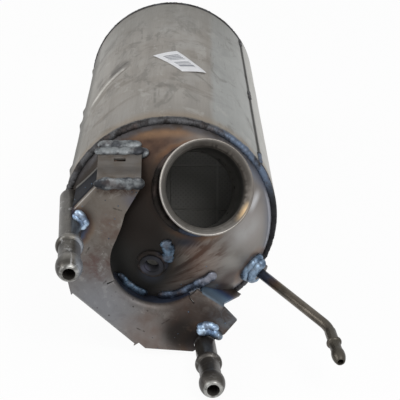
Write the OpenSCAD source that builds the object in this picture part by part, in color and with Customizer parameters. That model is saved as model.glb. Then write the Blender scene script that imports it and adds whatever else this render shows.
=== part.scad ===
/* [Canister] */
// Outer diameter of the rolled shell
shell_d = 154; // [150:1:180]
// Thickness of the shell sheet
shell_t = 1.5; // [1:0.1:2]
// Length of the shell
shell_l = 335; // [325:1:420]
// Angle of the lap seam, up from the right
seam_angle = 32; // [10:1:50]
// How far the outer edge of the lap stands proud
lap_step = 1.2; // [0.6:0.1:2]
// How far round the lap reaches
lap_turn = 68; // [30:1:75]

/* [Outlet cap] */
// Height of the dish in front of the shell
cap_h = 46; // [40:1:52]
// Thickness of the cap sheet
cap_t = 1.5; // [1:0.1:2.5]
// Length of the collar inside the shell
collar_l = 10; // [6:1:12]
// Width of the weld bead round the shell's two ends
rim_bead = 7; // [5:0.5:9]

/* [Outlet pipe] */
// Outer diameter of the outlet pipe
outlet_d = 58; // [48:1:62]
// Wall of the outlet pipe
outlet_t = 2; // [1.5:0.1:3]
// Height of the mouth above the dish
outlet_l = 22; // [18:1:34]
// Outer diameter of the flared mouth
flare_d = 66; // [64:1:72]
// Length of the flare
flare_l = 6; // [4:0.5:8]
// Tilt of the outlet from the canister's axis
outlet_tilt = 30; // [24:1:34]
// Direction of that tilt, up from the right
outlet_turn = 60.7; // [50:0.1:70]

/* [Inlet] */
// Length of the inlet cone
inlet_cone_l = 55; // [45:1:80]
// Outer diameter of the inlet pipe
inlet_d = 60; // [50:1:70]
// Wall of the inlet pipe
inlet_t = 1.5; // [1.2:0.1:3]
// Length of the inlet pipe in front of its cone
inlet_l = 45; // [35:1:70]

/* [Filter block] */
// Thickness of the mat squeezed between the block and the shell
mat_t = 3.6; // [3:0.1:6]
// Length of the ceramic block
block_l = 304.8; // [280:0.1:306]
// Side of one cemented segment
segment_w = 35; // [30:1:40]
// Width of a cement joint
joint_w = 1.4; // [1:0.1:2]
// Depth of a cement joint below the face
joint_deep = 1; // [0.5:0.1:2]
// How far the mat stops short of each end of the shell
mat_inset = 25; // [20:1:40]

/* [Bracket] */
// Thickness of the bracket sheet
plate_t = 2.5; // [2:0.1:3]
// Inside radius of the bends
bend_r = 2.5; // [1.5:0.1:4]
// Height of the bracket's face above the top of the dish
plate_rise = 0; // [0:0.5:6]
// Radius of the round opening
opening_r = 34.2; // [30:0.1:36]
// Place of the opening, right of the axis
opening_x = -7; // [-10:0.5:-4]
// Place of the opening, above the axis
opening_y = -13.2; // [-16:0.1:-11]
// Depth of the flange on the diagonal edge
stiffener_l = 14; // [10:1:24]

/* [Strap] */
// Width of the strap
strap_w = 30; // [24:1:32]
// Thickness of the strap
strap_t = 2; // [1.5:0.1:3]
// Length of the strap's foot on the bracket
strap_foot = 5; // [3:0.5:8]
// Length of the slot across the strap
slot_l = 8; // [5:0.5:14]
// Width of the slot
slot_w = 3.5; // [2:0.5:5]

/* [Hanger pins] */
// Outer diameter of a hanger tube
hanger_d = 15; // [12:0.5:16]
// Bore of a hanger tube
hanger_bore = 8.4; // [6:0.2:9]
// Outer diameter of the collar bead
collar_d = 19; // [18:0.5:22]
// Diameter of the bulb at the end
bulb_d = 18; // [17:0.5:20]
// Length of the bulb
bulb_l = 19; // [16:1:24]
// From the collar bead to the end
grip_l = 36; // [32:1:50]
// Length of the left tube
left_hanger_l = 104; // [90:1:120]
// Length of the lower tube
lower_hanger_l = 78; // [72:1:100]

/* [Sensor boss] */
// Outer diameter of the sensor boss
boss_d = 17; // [15:0.5:20]
// Drilled diameter of the boss, for a thread of 12 mm
boss_hole = 10.7; // [9:0.1:12]
// Height of the boss above the dish
boss_rise = 3; // [2:0.5:8]
// Depth of the boss behind the dish
boss_deep = 6; // [4:0.5:9]

/* [Pressure pipe] */
// Outer diameter of the pressure pipe
pipe_d = 7.2; // [6:0.1:7.6]
// Bore of the pressure pipe
pipe_bore = 4.6; // [3:0.1:5.2]
// Length of the first straight
pipe_run = 73; // [60:1:90]
// Bend of the pipe
pipe_bend = 30; // [15:1:60]
// Radius of the bend
pipe_bend_r = 22; // [16:1:30]
// Length of the hose end
pipe_end = 29; // [26:1:50]
// Outer diameter of the hose end, swaged over the pipe
pipe_end_d = 7.9; // [7.8:0.1:9]
// Outer diameter of its collar bead
pipe_collar_d = 10.6; // [10:0.1:13]
// Diameter of its bulb
pipe_bulb_d = 9.4; // [9:0.1:11]
// Outer diameter of the boss that carries the pipe
pipe_boss_d = 15; // [13:0.5:18]
// Height of that boss
pipe_boss_h = 8; // [6:0.5:12]

/* [Label] */
// Length of the label
label_l = 53; // [40:1:70]
// Width of the label
label_w = 22; // [16:1:30]
// Thickness of the label
label_t = 0.2; // [0.1:0.05:0.4]

/* [Hidden] */
$fn = 96;
fine = 360;

// Clearance between pieces that seat on each other, and a reach that clears any cut
seat = 0.1;
slip = 0.15;
far = 400;

// Canister: z = 0 is the shell's outlet edge, z points out of the outlet, y is up
shell_r = shell_d / 2;
shell_bore = shell_r - shell_t;
collar_r = shell_bore - slip;
rear_z = -shell_l;
mouth_z = rear_z - inlet_cone_l - inlet_l;

// The dish is a sphere that meets the collar in a small ledge
ledge = 0.2;
function ball_radius(base, height) = (base * base + height * height) / (2 * height);
dish_r = ball_radius(collar_r - ledge, cap_h);
dish_z = cap_h - dish_r;
function dish_height(x, y) = dish_z + sqrt(max(dish_r * dish_r - x * x - y * y, 0));

// Outlet pipe, along its own axis from the centre of the dish
outlet_r = outlet_d / 2;
outlet_bore = outlet_r - outlet_t;
outlet_top = dish_r + outlet_l;
outlet_root = sqrt(pow(dish_r - cap_t, 2) - outlet_r * outlet_r) - 4;
outlet_bead = 6;

// Inlet
inlet_r = inlet_d / 2;
cone_neck = inlet_r - inlet_t - slip;
neck_l = 12;
inlet_bead = 5;

// Filter block and mat lie midway along the shell
block_r = shell_bore - mat_t;
mat_l = shell_l - 2 * mat_inset;
block_z = -shell_l / 2;

// Bracket: its front face, and the corners of the sheet, anticlockwise from the top tip
plate_z = cap_h + plate_rise;
tip = [-18.7, 43];
crest = [-48.2, 47.3];
shoulder = [-65.9, 28.3];
flank = [-71.5, -26];
heel = [-69.3, -38.2];
toe = [-26.2, -79.5];
relief = [-22.5, -77];
sole = [-18, -81.5];
sole_end = [16, -84.5];
hook = [39, -70.5];
ear = [47.6, -59.5];
notch = [38.7, -49.2];
horn = [23.0, -37.9];
throat = [-33, 13];
throat_top = [-30, 23.5];
opening = [opening_x, opening_y];
lip_from = 205;
lip_to = 306;
lip_relief = 1.6;
lip_thin = 0.06;
lip_gap = 5;
rear_limit = 6;
flange_flare = 17;
lip_bead_r = opening_r - 1.5;
left_bead_turn = [212, 248];
right_bead_turn = [274, 292, 296];
right_bead_end = [29.5, -29.5];
fold_back = bend_r + plate_t;

// Strap: from the bracket's top edge, back and up to the dish
strap_x = (tip[0] + crest[0]) / 2;
strap_front_y = 48;
strap_rear_y = 62;
strap_rear_z = 14.5;
slot_at = 0.55;

// Hanger tubes: where each starts, and how it leans
hanger_play = 0.6;
left_hanger_bead = [-12, 62];
lower_hanger_bead = [32, 118];
left_hanger_at = [-70.8, 18.3, 5];
left_hanger_lean = [7, -9, 100];
lower_hanger_at = [24, -79.3, 32];
lower_hanger_lean = [6.8, 2.4, 100];
bulb_swell = 3.4;

// Sensor boss and pressure pipe: angle from the axis, and turn from the right
boss_tilt = 13.2;
boss_turn = 231.7;
boss_bead = 4.5;
boss_deposit = [-210, -145];
deposit_d = 8;
deposit_r = boss_d / 2 + 4.5;
pipe_boss_inset = 10.1;
pipe_boss_tilt = atan2(shell_r - rim_bead * 0.3, -dish_z) - pipe_boss_inset / dish_r * 180 / PI;
pipe_bead_turn = [85, 235];
pipe_boss_turn = -30.3;
pipe_tilt = 39.7;
pipe_turn = -18.1;
pipe_roll = 199.9;
pipe_bead = 8;
rim_relief_d = pipe_boss_d + 5.2;
swage_l = 1.5;
hose_grip = 19;
hose_bulb_l = 13;
hose_swell = 1.6;

// Label: turn from the top of the shell, distance from the outlet edge, and slant
label_turn = 5.7;
label_z = -140.5;
label_slant = 27;

// Weld beads that are laid in ripples
ripple_d = 6;
function mix(a, b, t) = a + (b - a) * t;
function line_points(a, b, n) = [for (i = [0 : n - 1]) mix(a, b, i / (n - 1))];
function arc_points(c, r, from, to, n) =
    [for (i = [0 : n - 1]) let (a = mix(from, to, i / (n - 1))) c + r * [cos(a), sin(a)]];
function on_dish(p) = [p[0], p[1], dish_height(p[0], p[1])];
// Stands the canister's frame up: the inlet mouth is the origin, the outlet looks along -Y
module in_place() {
    rotate([90, 0, 0])
        translate([0, 0, -mouth_z])
            children();
}

// Puts the children's z axis through the centre of the dish, at a tilt and a turn
module on_ray(tilt, turn) {
    translate([0, 0, dish_z])
        rotate([0, tilt, turn])
            children();
}

// Puts the children's z axis along a direction from a point
module along(start, direction) {
    translate(start)
        rotate([0, acos(direction[2] / norm(direction)), atan2(direction[1], direction[0])])
            children();
}

module dish_ball(grow) {
    translate([0, 0, dish_z])
        sphere(r = dish_r + grow, $fn = fine);
}

module ripples(points, d) {
    for (p = points)
        translate(p)
            sphere(d = d, $fn = 48);
}

module tube(outer, inner, length) {
    difference() {
        cylinder(r = outer, h = length);
        translate([0, 0, -1])
            cylinder(r = inner, h = length + 2);
    }
}

// Shell: a rolled tube whose outer layer ends at the seam and thins out over the lap
module shell_section(grow) {
    rotate(seam_angle + 90)
        circle(r = shell_r + grow, $fn = fine);
    rotate(seam_angle)
        difference() {
            translate([lap_step, 0])
                circle(r = shell_r + grow, $fn = fine);
            translate([-far, grow])
                square([2 * far, far]);
            rotate(-lap_turn)
                translate([-far, -far])
                    square([2 * far, far]);
        }
}

module canister_shell() {
    color("#a9a79d")
        in_place()
            translate([0, 0, rear_z])
                linear_extrude(shell_l)
                    difference() {
                        shell_section(0);
                        circle(r = shell_bore, $fn = fine);
                    }
}

// Three short tacks along the seam
module seam_weld() {
    tack_l = 14;
    tack_d = 5;
    seam = shell_r * [cos(seam_angle), sin(seam_angle)];
    color("#5b5a58")
        in_place()
            difference() {
                for (z = [-tack_l, -shell_l / 2 + 8, rear_z + tack_l])
                    ripples(line_points([seam[0], seam[1], z - tack_l / 2],
                                        [seam[0], seam[1], z + tack_l / 2], 6), tack_d);
                translate([0, 0, rear_z])
                    linear_extrude(shell_l)
                        shell_section(seat / 2);
            }
}

// Half section of a dish on a collar, filled down to the collar's end
module dish_section(r, h) {
    ball_r = ball_radius(r - ledge, h);
    intersection() {
        translate([0, h - ball_r])
            circle(r = ball_r, $fn = fine);
        square([far, far]);
    }
    translate([0, -collar_l])
        square([r, collar_l]);
}

module outlet_cap() {
    color("#8a7a68")
        in_place()
            difference() {
                rotate_extrude($fn = fine)
                    difference() {
                        dish_section(collar_r, cap_h);
                        dish_section(collar_r - cap_t, cap_h - cap_t);
                    }
                on_ray(outlet_tilt, outlet_turn)
                    cylinder(r = outlet_r + slip, h = far);
                on_ray(boss_tilt, boss_turn)
                    cylinder(d = boss_d + 2 * slip, h = far);
                pressure_line()
                    translate([0, 0, -far / 20])
                        cylinder(d = pipe_bore, h = far / 10);
            }
}

// Bead between a shell end and its cap, in front of the edge
module rim_bead_ring(z) {
    translate([0, 0, z])
        rotate_extrude()
            intersection() {
                translate([shell_r - rim_bead * 0.3, 0])
                    circle(d = rim_bead);
                translate([0, seat])
                    square([far, far]);
            }
}

module outlet_rim_weld() {
    color("#3d4658")
        in_place()
            difference() {
                rim_bead_ring(0);
                dish_ball(seat / 2);
                on_ray(pipe_boss_tilt, pipe_boss_turn)
                    cylinder(d = rim_relief_d, h = far);
            }
}

module outlet_pipe() {
    color("#8d8071")
        in_place()
            on_ray(outlet_tilt, outlet_turn)
                rotate_extrude()
                    polygon([
                        [outlet_bore, outlet_root],
                        [outlet_r, outlet_root],
                        [outlet_r, outlet_top - flare_l - outlet_t / 2],
                        [flare_d / 2, outlet_top - outlet_t / 2],
                        [flare_d / 2, outlet_top],
                        [flare_d / 2 - outlet_t * 0.6, outlet_top],
                        [outlet_bore, outlet_top - flare_l]
                    ]);
}

// Bead round a tube that stands on the dish, about the tube's axis
module foot_bead(tube_r, bead) {
    foot = sqrt(dish_r * dish_r - tube_r * tube_r);
    rotate_extrude()
        difference() {
            translate([tube_r + 0.6, foot + 0.4])
                circle(d = bead);
            square([tube_r + seat / 2, far]);
            circle(r = dish_r + seat / 2, $fn = 2 * fine);
        }
}

module outlet_pipe_weld() {
    color("#434b5c")
        in_place()
            on_ray(outlet_tilt, outlet_turn)
                foot_bead(outlet_r, outlet_bead);
}

// Inlet cone: one smooth sweep from the shell to the pipe
function cone_r(t) = mix(collar_r, cone_neck, (1 - cos(180 * t)) / 2);
function cone_slope(t) = (cone_neck - collar_r) * 90 * sin(180 * t) * PI / 180 / inlet_cone_l;
function cone_point(t, inset) =
    let (slope = cone_slope(t), size = sqrt(1 + slope * slope))
    [cone_r(t) - inset / size, t * inlet_cone_l + inset * slope / size];

cone_steps = 16;
cone_side = [for (i = [0 : cone_steps]) cone_point(i / cone_steps, 0)];
cone_inside = [for (i = [cone_steps : -1 : 0]) cone_point(i / cone_steps, cap_t)];

// The children's z axis points out of the inlet, from the shell's inlet edge
module at_inlet() {
    translate([0, 0, rear_z])
        mirror([0, 0, 1])
            children();
}

module inlet_cone() {
    color("#8d8579")
        in_place()
            at_inlet()
                rotate_extrude()
                    polygon(concat(
                        [[collar_r, -collar_l]],
                        cone_side,
                        [[cone_neck, inlet_cone_l + neck_l], [cone_neck - cap_t, inlet_cone_l + neck_l]],
                        cone_inside,
                        [[collar_r - cap_t, -collar_l]]
                    ));
}

module inlet_rim_weld() {
    color("#4a4d55")
        in_place()
            at_inlet()
                rotate_extrude()
                    difference() {
                        translate([shell_r - rim_bead * 0.3, 0])
                            circle(d = rim_bead);
                        translate([0, -far + seat])
                            square([far, far]);
                        square([collar_r + seat / 2, far]);
                    }
}

module inlet_pipe() {
    color("#8d8579")
        in_place()
            translate([0, 0, mouth_z])
                tube(inlet_r, inlet_r - inlet_t, inlet_l);
}

// Bead in the corner between the pipe's end and the cone
module inlet_pipe_weld() {
    color("#4a4d55")
        in_place()
            at_inlet()
                rotate_extrude()
                    difference() {
                        translate([inlet_r, inlet_cone_l - seat])
                            circle(d = inlet_bead);
                        translate([0, inlet_cone_l - seat])
                            square([far, far]);
                        polygon(concat([[0, 0]], [for (q = cone_side) q + [seat / 2, 0]], [[0, inlet_cone_l]]));
                    }
}

// Ceramic block, with the cement joints of its segments sunk into both faces
module filter_monolith() {
    reach = floor(block_r / segment_w);
    color("#6f6a63")
        in_place()
            translate([0, 0, block_z])
                difference() {
                    translate([0, 0, -block_l / 2])
                        cylinder(r = block_r, h = block_l);
                    for (side = [-1, 1], turn = [0, 90], i = [-reach : reach])
                        rotate([0, 0, turn])
                            translate([i * segment_w - joint_w / 2, -far / 2, side * block_l / 2 - joint_deep])
                                cube([joint_w, far, 2 * joint_deep]);
                }
}

module support_mat() {
    color("#d8d4c8")
        in_place()
            translate([0, 0, block_z - mat_l / 2])
                tube(shell_bore - seat / 2, block_r + seat / 2, mat_l);
}

// Flange folded back along an edge, with the sheet on the left of the edge
module fold_profile(depth, thin = 0) {
    translate([thin, -depth])
        square([plate_t - 2 * thin, depth - fold_back]);
    translate([fold_back, thin - plate_t])
        square([plate_t, plate_t - 2 * thin]);
    intersection() {
        translate([fold_back, -fold_back])
            difference() {
                circle(r = fold_back - thin);
                circle(r = bend_r + thin);
            }
        translate([0, -fold_back])
            square([fold_back, fold_back]);
    }
}

module fold(from, to, depth) {
    translate([from[0], from[1], plate_z])
        rotate([0, 0, atan2(to[1] - from[1], to[0] - from[0])])
            rotate([90, 0, 90])
                linear_extrude(norm(to - from))
                    fold_profile(depth);
}

// Strip of the flat sheet that a fold takes away
module fold_strip(from, to) {
    translate(from)
        rotate(atan2(to[1] - from[1], to[0] - from[0]))
            translate([0, -far])
                square([norm(to - from), far + fold_back]);
}

// The sheet is cut a little past the lip's ends, so that the lip can bend
module lip_sector(r) {
    from = lip_from - lip_relief;
    to = lip_to + lip_relief;
    intersection() {
        circle(r = r);
        polygon(concat([[0, 0]], [for (i = [0 : 6]) let (a = mix(from, to, i / 6)) 2 * r * [cos(a), sin(a)]]));
    }
}

module plate_outline() {
    difference() {
        polygon([
            tip, crest, shoulder, flank, heel, toe, relief, sole, sole_end, hook, ear, notch, horn,
            opening, throat - [6.5, 16], throat, throat_top
        ]);
        translate(opening) {
            circle(r = opening_r);
            lip_sector(opening_r + fold_back + plate_t / 2);
        }
        fold_strip(crest, shoulder);
        fold_strip(heel, toe);
        fold_strip(notch, horn);
    }
}

// Right flange: a bend, then a web that widens toward the shell
module right_flange() {
    edge = notch - horn;
    bend_end = fold_back + plate_t;
    fold(notch, horn, bend_end);
    translate([horn[0], horn[1], plate_z])
        rotate([0, 0, atan2(edge[1], edge[0])])
            rotate([90, 0, 0])
                linear_extrude(plate_t)
                    polygon([
                        [0, -bend_end],
                        [norm(edge), -bend_end],
                        [norm(edge) + flange_flare, rear_limit - plate_z],
                        [0, rear_limit - plate_z]
                    ]);
}

// Hole square to the plate, wide enough for a hanger tube that leans
function lean_at(start, lean, z) = start + lean * ((z - start[2]) / lean[2]);

module hanger_hole(start, lean) {
    translate(lean_at(start, lean, plate_z - plate_t / 2) - [0, 0, plate_t])
        cylinder(d = hanger_d + hanger_play, h = 2 * plate_t);
}

module hanger_bracket() {
    flange_l = plate_z - rear_limit;
    color("#8f8779")
        in_place()
            difference() {
                union() {
                    translate([0, 0, plate_z - plate_t])
                        linear_extrude(plate_t)
                            plate_outline();
                    fold(crest, shoulder, flange_l);
                    fold(heel, toe, stiffener_l);
                    right_flange();
                    translate([opening[0], opening[1], plate_z])
                        rotate([0, 0, lip_from])
                            rotate_extrude(angle = lip_to - lip_from)
                                translate([opening_r, 0])
                                    fold_profile(flange_l, lip_thin);
                }
                dish_ball(slip);
                hanger_hole(left_hanger_at, left_hanger_lean);
                hanger_hole(lower_hanger_at, lower_hanger_lean);
            }
}

// Bead in the corner between the lip and the dish
module lip_bead(points) {
    color("#4b5468")
        in_place()
            difference() {
                ripples([for (p = points) on_dish(p) + [0, 0, 1]], ripple_d);
                dish_ball(seat / 2);
                translate([opening[0], opening[1], 0])
                    difference() {
                        cylinder(r = opening_r + fold_back, h = far);
                        translate([0, 0, -1])
                            cylinder(r = opening_r - seat / 2, h = far + 2);
                        rotate([0, 0, lip_to + lip_gap])
                            cube(far);
                    }
            }
}

module bracket_left_weld() {
    lip_bead(arc_points(opening, lip_bead_r, left_bead_turn[0], left_bead_turn[1], 9));
}

// The right bead leaves the lip and runs on up the dish
module bracket_right_weld() {
    lip_bead(concat(
        arc_points(opening, lip_bead_r, right_bead_turn[0], right_bead_turn[1], 5),
        line_points(opening + lip_bead_r * [cos(right_bead_turn[2]), sin(right_bead_turn[2])], right_bead_end, 11)));
}

// Strap: a foot on the bracket's face, a bend, and a web that climbs back to the dish
module strap_section() {
    foot_z = plate_z + seat / 2 + strap_t / 2;
    corner = [foot_z, strap_front_y];
    rear = [strap_rear_z, strap_rear_y];
    web = rear - corner;
    translate(corner) {
        circle(d = strap_t);
        rotate(atan2(web[1], web[0]))
            translate([0, -strap_t / 2])
                square([norm(web), strap_t]);
        translate([-strap_t / 2, -strap_foot])
            square([strap_t, strap_foot]);
    }
}

module bracket_strap() {
    mid = [mix(strap_front_y, strap_rear_y, slot_at), mix(plate_z, strap_rear_z, slot_at)];
    color("#a29c90")
        in_place()
            difference() {
                translate([strap_x + strap_w / 2, 0, 0])
                    rotate([0, -90, 0])
                        linear_extrude(strap_w)
                            strap_section();
                translate([strap_x - slot_l / 2, mid[0] - far / 20, mid[1] - slot_w / 2])
                    cube([slot_l, far / 10, slot_w]);
                dish_ball(slip);
            }
}

module strap_rear_weld() {
    y = strap_rear_y - 3.5;
    color("#5a6274")
        in_place()
            difference() {
                ripples([for (i = [0 : 5])
                            on_dish([strap_x + strap_w / 2 - 2 - 2.6 * i, y - 0.4 * i]) + [0, 1, 1]], ripple_d);
                dish_ball(seat / 2);
                translate([strap_x + strap_w / 2 + 1, 0, 0])
                    rotate([0, -90, 0])
                        linear_extrude(strap_w + 2)
                            strap_section();
            }
}

module strap_front_weld() {
    y = strap_front_y - strap_foot;
    color("#5a6274")
        in_place()
            difference() {
                ripples(line_points([strap_x - strap_w / 2 + 1, y, plate_z + 0.5],
                                    [strap_x + strap_w / 2 - 1, y, plate_z + 0.5], 13), ripple_d);
                translate([-far / 2, -far / 2, plate_z - far + seat / 2])
                    cube([far, far, far]);
                translate([-far / 2, y - seat / 2, 0])
                    cube([far, far, far]);
            }
}

// Hollow pin with a collar bead and a bulb, along +z
module hose_pin(d, bore, length, bead_d, bead_at, end_d, end_l, swell) {
    half = end_l / 2;
    bulge_r = (half * half + swell * swell) / (2 * swell);
    rotate_extrude()
        difference() {
            union() {
                square([d / 2, length - half]);
                translate([d / 2 - (d - bore) / 4, bead_at])
                    circle(r = bead_d / 2 - d / 2 + (d - bore) / 4);
                intersection() {
                    translate([end_d / 2 - bulge_r, length - half])
                        circle(r = bulge_r);
                    translate([0, length - end_l])
                        square([end_d, end_l]);
                }
            }
            translate([0, -1])
                square([bore / 2, length + 2]);
        }
}

module hanger_pin(length) {
    hose_pin(hanger_d, hanger_bore, length, collar_d, length - grip_l, bulb_d, bulb_l, bulb_swell);
}

module left_hanger() {
    color("#7d766d")
        in_place()
            difference() {
                along(left_hanger_at, left_hanger_lean)
                    hanger_pin(left_hanger_l);
                dish_ball(slip);
                rim_bead_ring(seat);
            }
}

module lower_hanger() {
    color("#7d766d")
        in_place()
            along(lower_hanger_at, lower_hanger_lean)
                hanger_pin(lower_hanger_l);
}

// Bead round part of a hanger tube, on the bracket's face
module hanger_bead(start, lean, d, from, to, count) {
    centre = lean_at(start, lean, plate_z + d / 4);
    reach = hanger_d / 2 + d * 0.36;
    color("#6d7688")
        in_place()
            difference() {
                ripples([for (p = arc_points([centre[0], centre[1]], reach, from, to, count)) [p[0], p[1], plate_z]], d);
                translate([-far / 2, -far / 2, plate_z - far + seat / 2])
                    cube([far, far, far]);
                translate([centre[0], centre[1], 0])
                    cylinder(d = hanger_d + hanger_play, h = far);
            }
}

module left_hanger_weld() {
    hanger_bead(left_hanger_at, left_hanger_lean, 8, left_hanger_bead[0], left_hanger_bead[1], 6);
}

module lower_hanger_weld() {
    hanger_bead(lower_hanger_at, lower_hanger_lean, 10, lower_hanger_bead[0], lower_hanger_bead[1], 7);
}

module sensor_boss() {
    color("#6b6257")
        in_place()
            on_ray(boss_tilt, boss_turn)
                translate([0, 0, dish_r - boss_deep])
                    tube(boss_d / 2, boss_hole / 2, boss_deep + boss_rise);
}

module sensor_boss_weld() {
    color("#5a6274")
        in_place()
            on_ray(boss_tilt, boss_turn) {
                foot_bead(boss_d / 2, boss_bead);
                difference() {
                    ripples([for (q = arc_points([0, 0], deposit_r, boss_deposit[0], boss_deposit[1], 6))
                                [q[0], q[1], sqrt(dish_r * dish_r - deposit_r * deposit_r)]], deposit_d);
                    sphere(r = dish_r + seat / 2, $fn = fine);
                    cylinder(d = boss_d + boss_bead + seat, h = far);
                }
            }
}

// Start of the pressure pipe, where its boss meets the dish
pipe_start = [0, 0, dish_z] + (dish_r + 2) * [
    sin(pipe_boss_tilt) * cos(pipe_boss_turn),
    sin(pipe_boss_tilt) * sin(pipe_boss_turn),
    cos(pipe_boss_tilt)
];

module pressure_line() {
    translate(pipe_start)
        rotate([0, pipe_tilt, pipe_turn])
            rotate([0, 0, pipe_roll])
                children();
}

module pressure_boss() {
    color("#8b867d")
        in_place()
            difference() {
                on_ray(pipe_boss_tilt, pipe_boss_turn)
                    translate([0, 0, dish_r - 4])
                        cylinder(d = pipe_boss_d, h = pipe_boss_h + 4);
                dish_ball(seat / 2);
                rim_bead_ring(0);
                pressure_line() {
                    cylinder(d = pipe_d + 2 * slip, h = far / 4);
                    translate([0, 0, -far / 20])
                        cylinder(d = pipe_bore, h = far / 10);
                }
            }
}

module pressure_boss_weld() {
    reach = pipe_boss_d / 2 + 0.8;
    color("#8f9cb4")
        in_place()
            difference() {
                on_ray(pipe_boss_tilt, pipe_boss_turn)
                    ripples([for (p = arc_points([0, 0], reach, pipe_bead_turn[0], pipe_bead_turn[1], 12))
                                [p[0], p[1], sqrt(dish_r * dish_r - reach * reach) + 0.8]], pipe_bead);
                dish_ball(seat / 2);
                on_ray(pipe_boss_tilt, pipe_boss_turn)
                    cylinder(d = pipe_boss_d + seat, h = far);
            }
}

module pressure_pipe() {
    color("#77716a")
        in_place()
            pressure_line() {
                tube(pipe_d / 2, pipe_bore / 2, pipe_run);
                translate([pipe_bend_r, 0, pipe_run]) {
                    rotate([90, 0, 0])
                        mirror([1, 0, 0])
                            rotate_extrude(angle = pipe_bend)
                                translate([pipe_bend_r, 0])
                                    difference() {
                                        circle(d = pipe_d);
                                        circle(d = pipe_bore);
                                    }
                    rotate([0, pipe_bend, 0])
                        translate([-pipe_bend_r, 0, -swage_l])
                            hose_pin(pipe_end_d, pipe_bore - 2 * slip, pipe_end + swage_l, pipe_collar_d,
                                     pipe_end + swage_l - hose_grip, pipe_bulb_d, hose_bulb_l, hose_swell);
                }
            }
}

module label() {
    color("white")
        in_place()
            intersection() {
                translate([0, 0, rear_z])
                    tube(shell_r + seat / 2 + label_t, shell_r + seat / 2, shell_l);
                rotate([0, 0, -label_turn])
                    translate([0, 0, label_z])
                        rotate([-90, 0, 0])
                            rotate([0, 0, label_slant])
                                translate([-label_w / 2, -label_l / 2, 0])
                                    cube([label_w, label_l, shell_d]);
            }
}

canister_shell();
seam_weld();
outlet_cap();
outlet_rim_weld();
outlet_pipe();
outlet_pipe_weld();
inlet_cone();
inlet_rim_weld();
inlet_pipe();
inlet_pipe_weld();
filter_monolith();
support_mat();
hanger_bracket();
bracket_left_weld();
bracket_right_weld();
bracket_strap();
strap_rear_weld();
strap_front_weld();
left_hanger();
left_hanger_weld();
lower_hanger();
lower_hanger_weld();
sensor_boss();
sensor_boss_weld();
pressure_boss();
pressure_boss_weld();
pressure_pipe();
label();
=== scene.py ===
"""Dresses a diesel particulate filter: rolled shell, tinted dish, pressed bracket, hangers and welds."""

import math
from functools import cache

import bmesh
import bpy
from mathutils import Matrix, Vector, noise


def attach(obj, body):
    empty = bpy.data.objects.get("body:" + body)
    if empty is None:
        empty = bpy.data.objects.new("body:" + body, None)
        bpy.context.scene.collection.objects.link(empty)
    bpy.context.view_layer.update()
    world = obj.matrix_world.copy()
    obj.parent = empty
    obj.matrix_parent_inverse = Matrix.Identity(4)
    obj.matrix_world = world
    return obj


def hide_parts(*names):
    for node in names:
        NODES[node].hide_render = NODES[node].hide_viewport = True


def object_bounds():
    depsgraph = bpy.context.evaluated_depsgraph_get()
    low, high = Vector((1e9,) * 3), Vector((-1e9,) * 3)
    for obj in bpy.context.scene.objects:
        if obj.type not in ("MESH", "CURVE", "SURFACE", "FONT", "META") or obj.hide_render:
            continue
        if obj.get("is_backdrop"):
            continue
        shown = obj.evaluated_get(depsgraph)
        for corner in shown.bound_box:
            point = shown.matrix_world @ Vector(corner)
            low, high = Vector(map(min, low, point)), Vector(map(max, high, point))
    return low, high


bl_info = {
    "name": "Particulate filter dresser",
    "version": (1, 0, 0),
    "blender": (4, 5, 0),
    "location": "3D View > Sidebar > Filter",
    "description": "Gives the particulate filter its sheet metal, heat colours, welds and stage",
    "category": "Object",
}

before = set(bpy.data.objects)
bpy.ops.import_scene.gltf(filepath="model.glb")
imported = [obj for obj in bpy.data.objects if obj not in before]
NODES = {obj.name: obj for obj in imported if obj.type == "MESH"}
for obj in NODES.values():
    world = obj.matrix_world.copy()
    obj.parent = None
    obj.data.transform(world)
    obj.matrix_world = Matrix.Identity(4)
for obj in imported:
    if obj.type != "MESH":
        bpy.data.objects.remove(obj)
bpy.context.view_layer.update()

# The design frame, in millimetres: x to the right, y up, z toward the outlet from the shell's edge
AXIS = Vector((0, 0, 1))
EDGE_DEPTH = 435.0
SHELL_R = 77.0
SHELL_BORE = 75.5
SHELL_L = 335.0
CONE_END = 390.0
BLOCK_FACE = -SHELL_L / 2 + 152.4
CELL_PITCH = 1.8
SEAM = 32.0
SEAM_OUT = Vector((math.cos(math.radians(SEAM)), math.sin(math.radians(SEAM)), 0))
SEAM_TACKS = (-14.0, -SHELL_L / 2 + 8, -SHELL_L + 14)
LAP_STEP = 1.2
LAP_TURN = 68.0
DISH_R = 84.39
DISH_Z = -38.39
DISH_CENTRE = Vector((0, 0, DISH_Z))
PLATE_Z = 46.0
OPENING = (-7.0, -13.2)
OPENING_R = 34.2
LIP_BEAD_R = OPENING_R - 1.6
OUTLET_RAY = (30.0, 60.7)
OUTLET_R = 29.0
OUTLET_END = DISH_R + 22
BOSS_RAY = (13.2, 231.7)
BOSS_R = 8.5
BOSS_HOLE_R = 5.35
PIPE_BOSS_RAY = (56.0, -30.3)
PIPE_BOSS_R = 7.5
STRAP_X = -33.45
LEFT_HANGER = (-68.0, 14.6)
LOWER_HANGER = (25.0, -79.0)
# A point and the direction of each hanger pin
LEFT_PIN = ((-70.8, 18.3, 5), (7, -9, 100))
LOWER_PIN = ((24, -79.3, 32), (6.8, 2.4, 100))
RIM_BEAD_R = 75.2
RIM_BEAD_SHARE = 0.9
INLET_BEAD_R = 30.2
RIGHT_BEAD_END = (29.5, -29.5)
CREASE = (Vector((-63.0, 44.0, -126.0)), Vector((-38.0, 67.0, -155.0)))
SIDE_TACK_TURN = 166
SIDE_TACKS = (-306, -185, -150, -49)
PLATE_SCRATCHES = (((-24, -65), (-18, -68)), ((-6, -62), (0, -58)), ((-2, -70), (2, -67)),
                   ((-58, -6), (-55, -1)), ((-38, 28), (-32, 26)), ((-47, -30), (-44, -27)))

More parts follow.
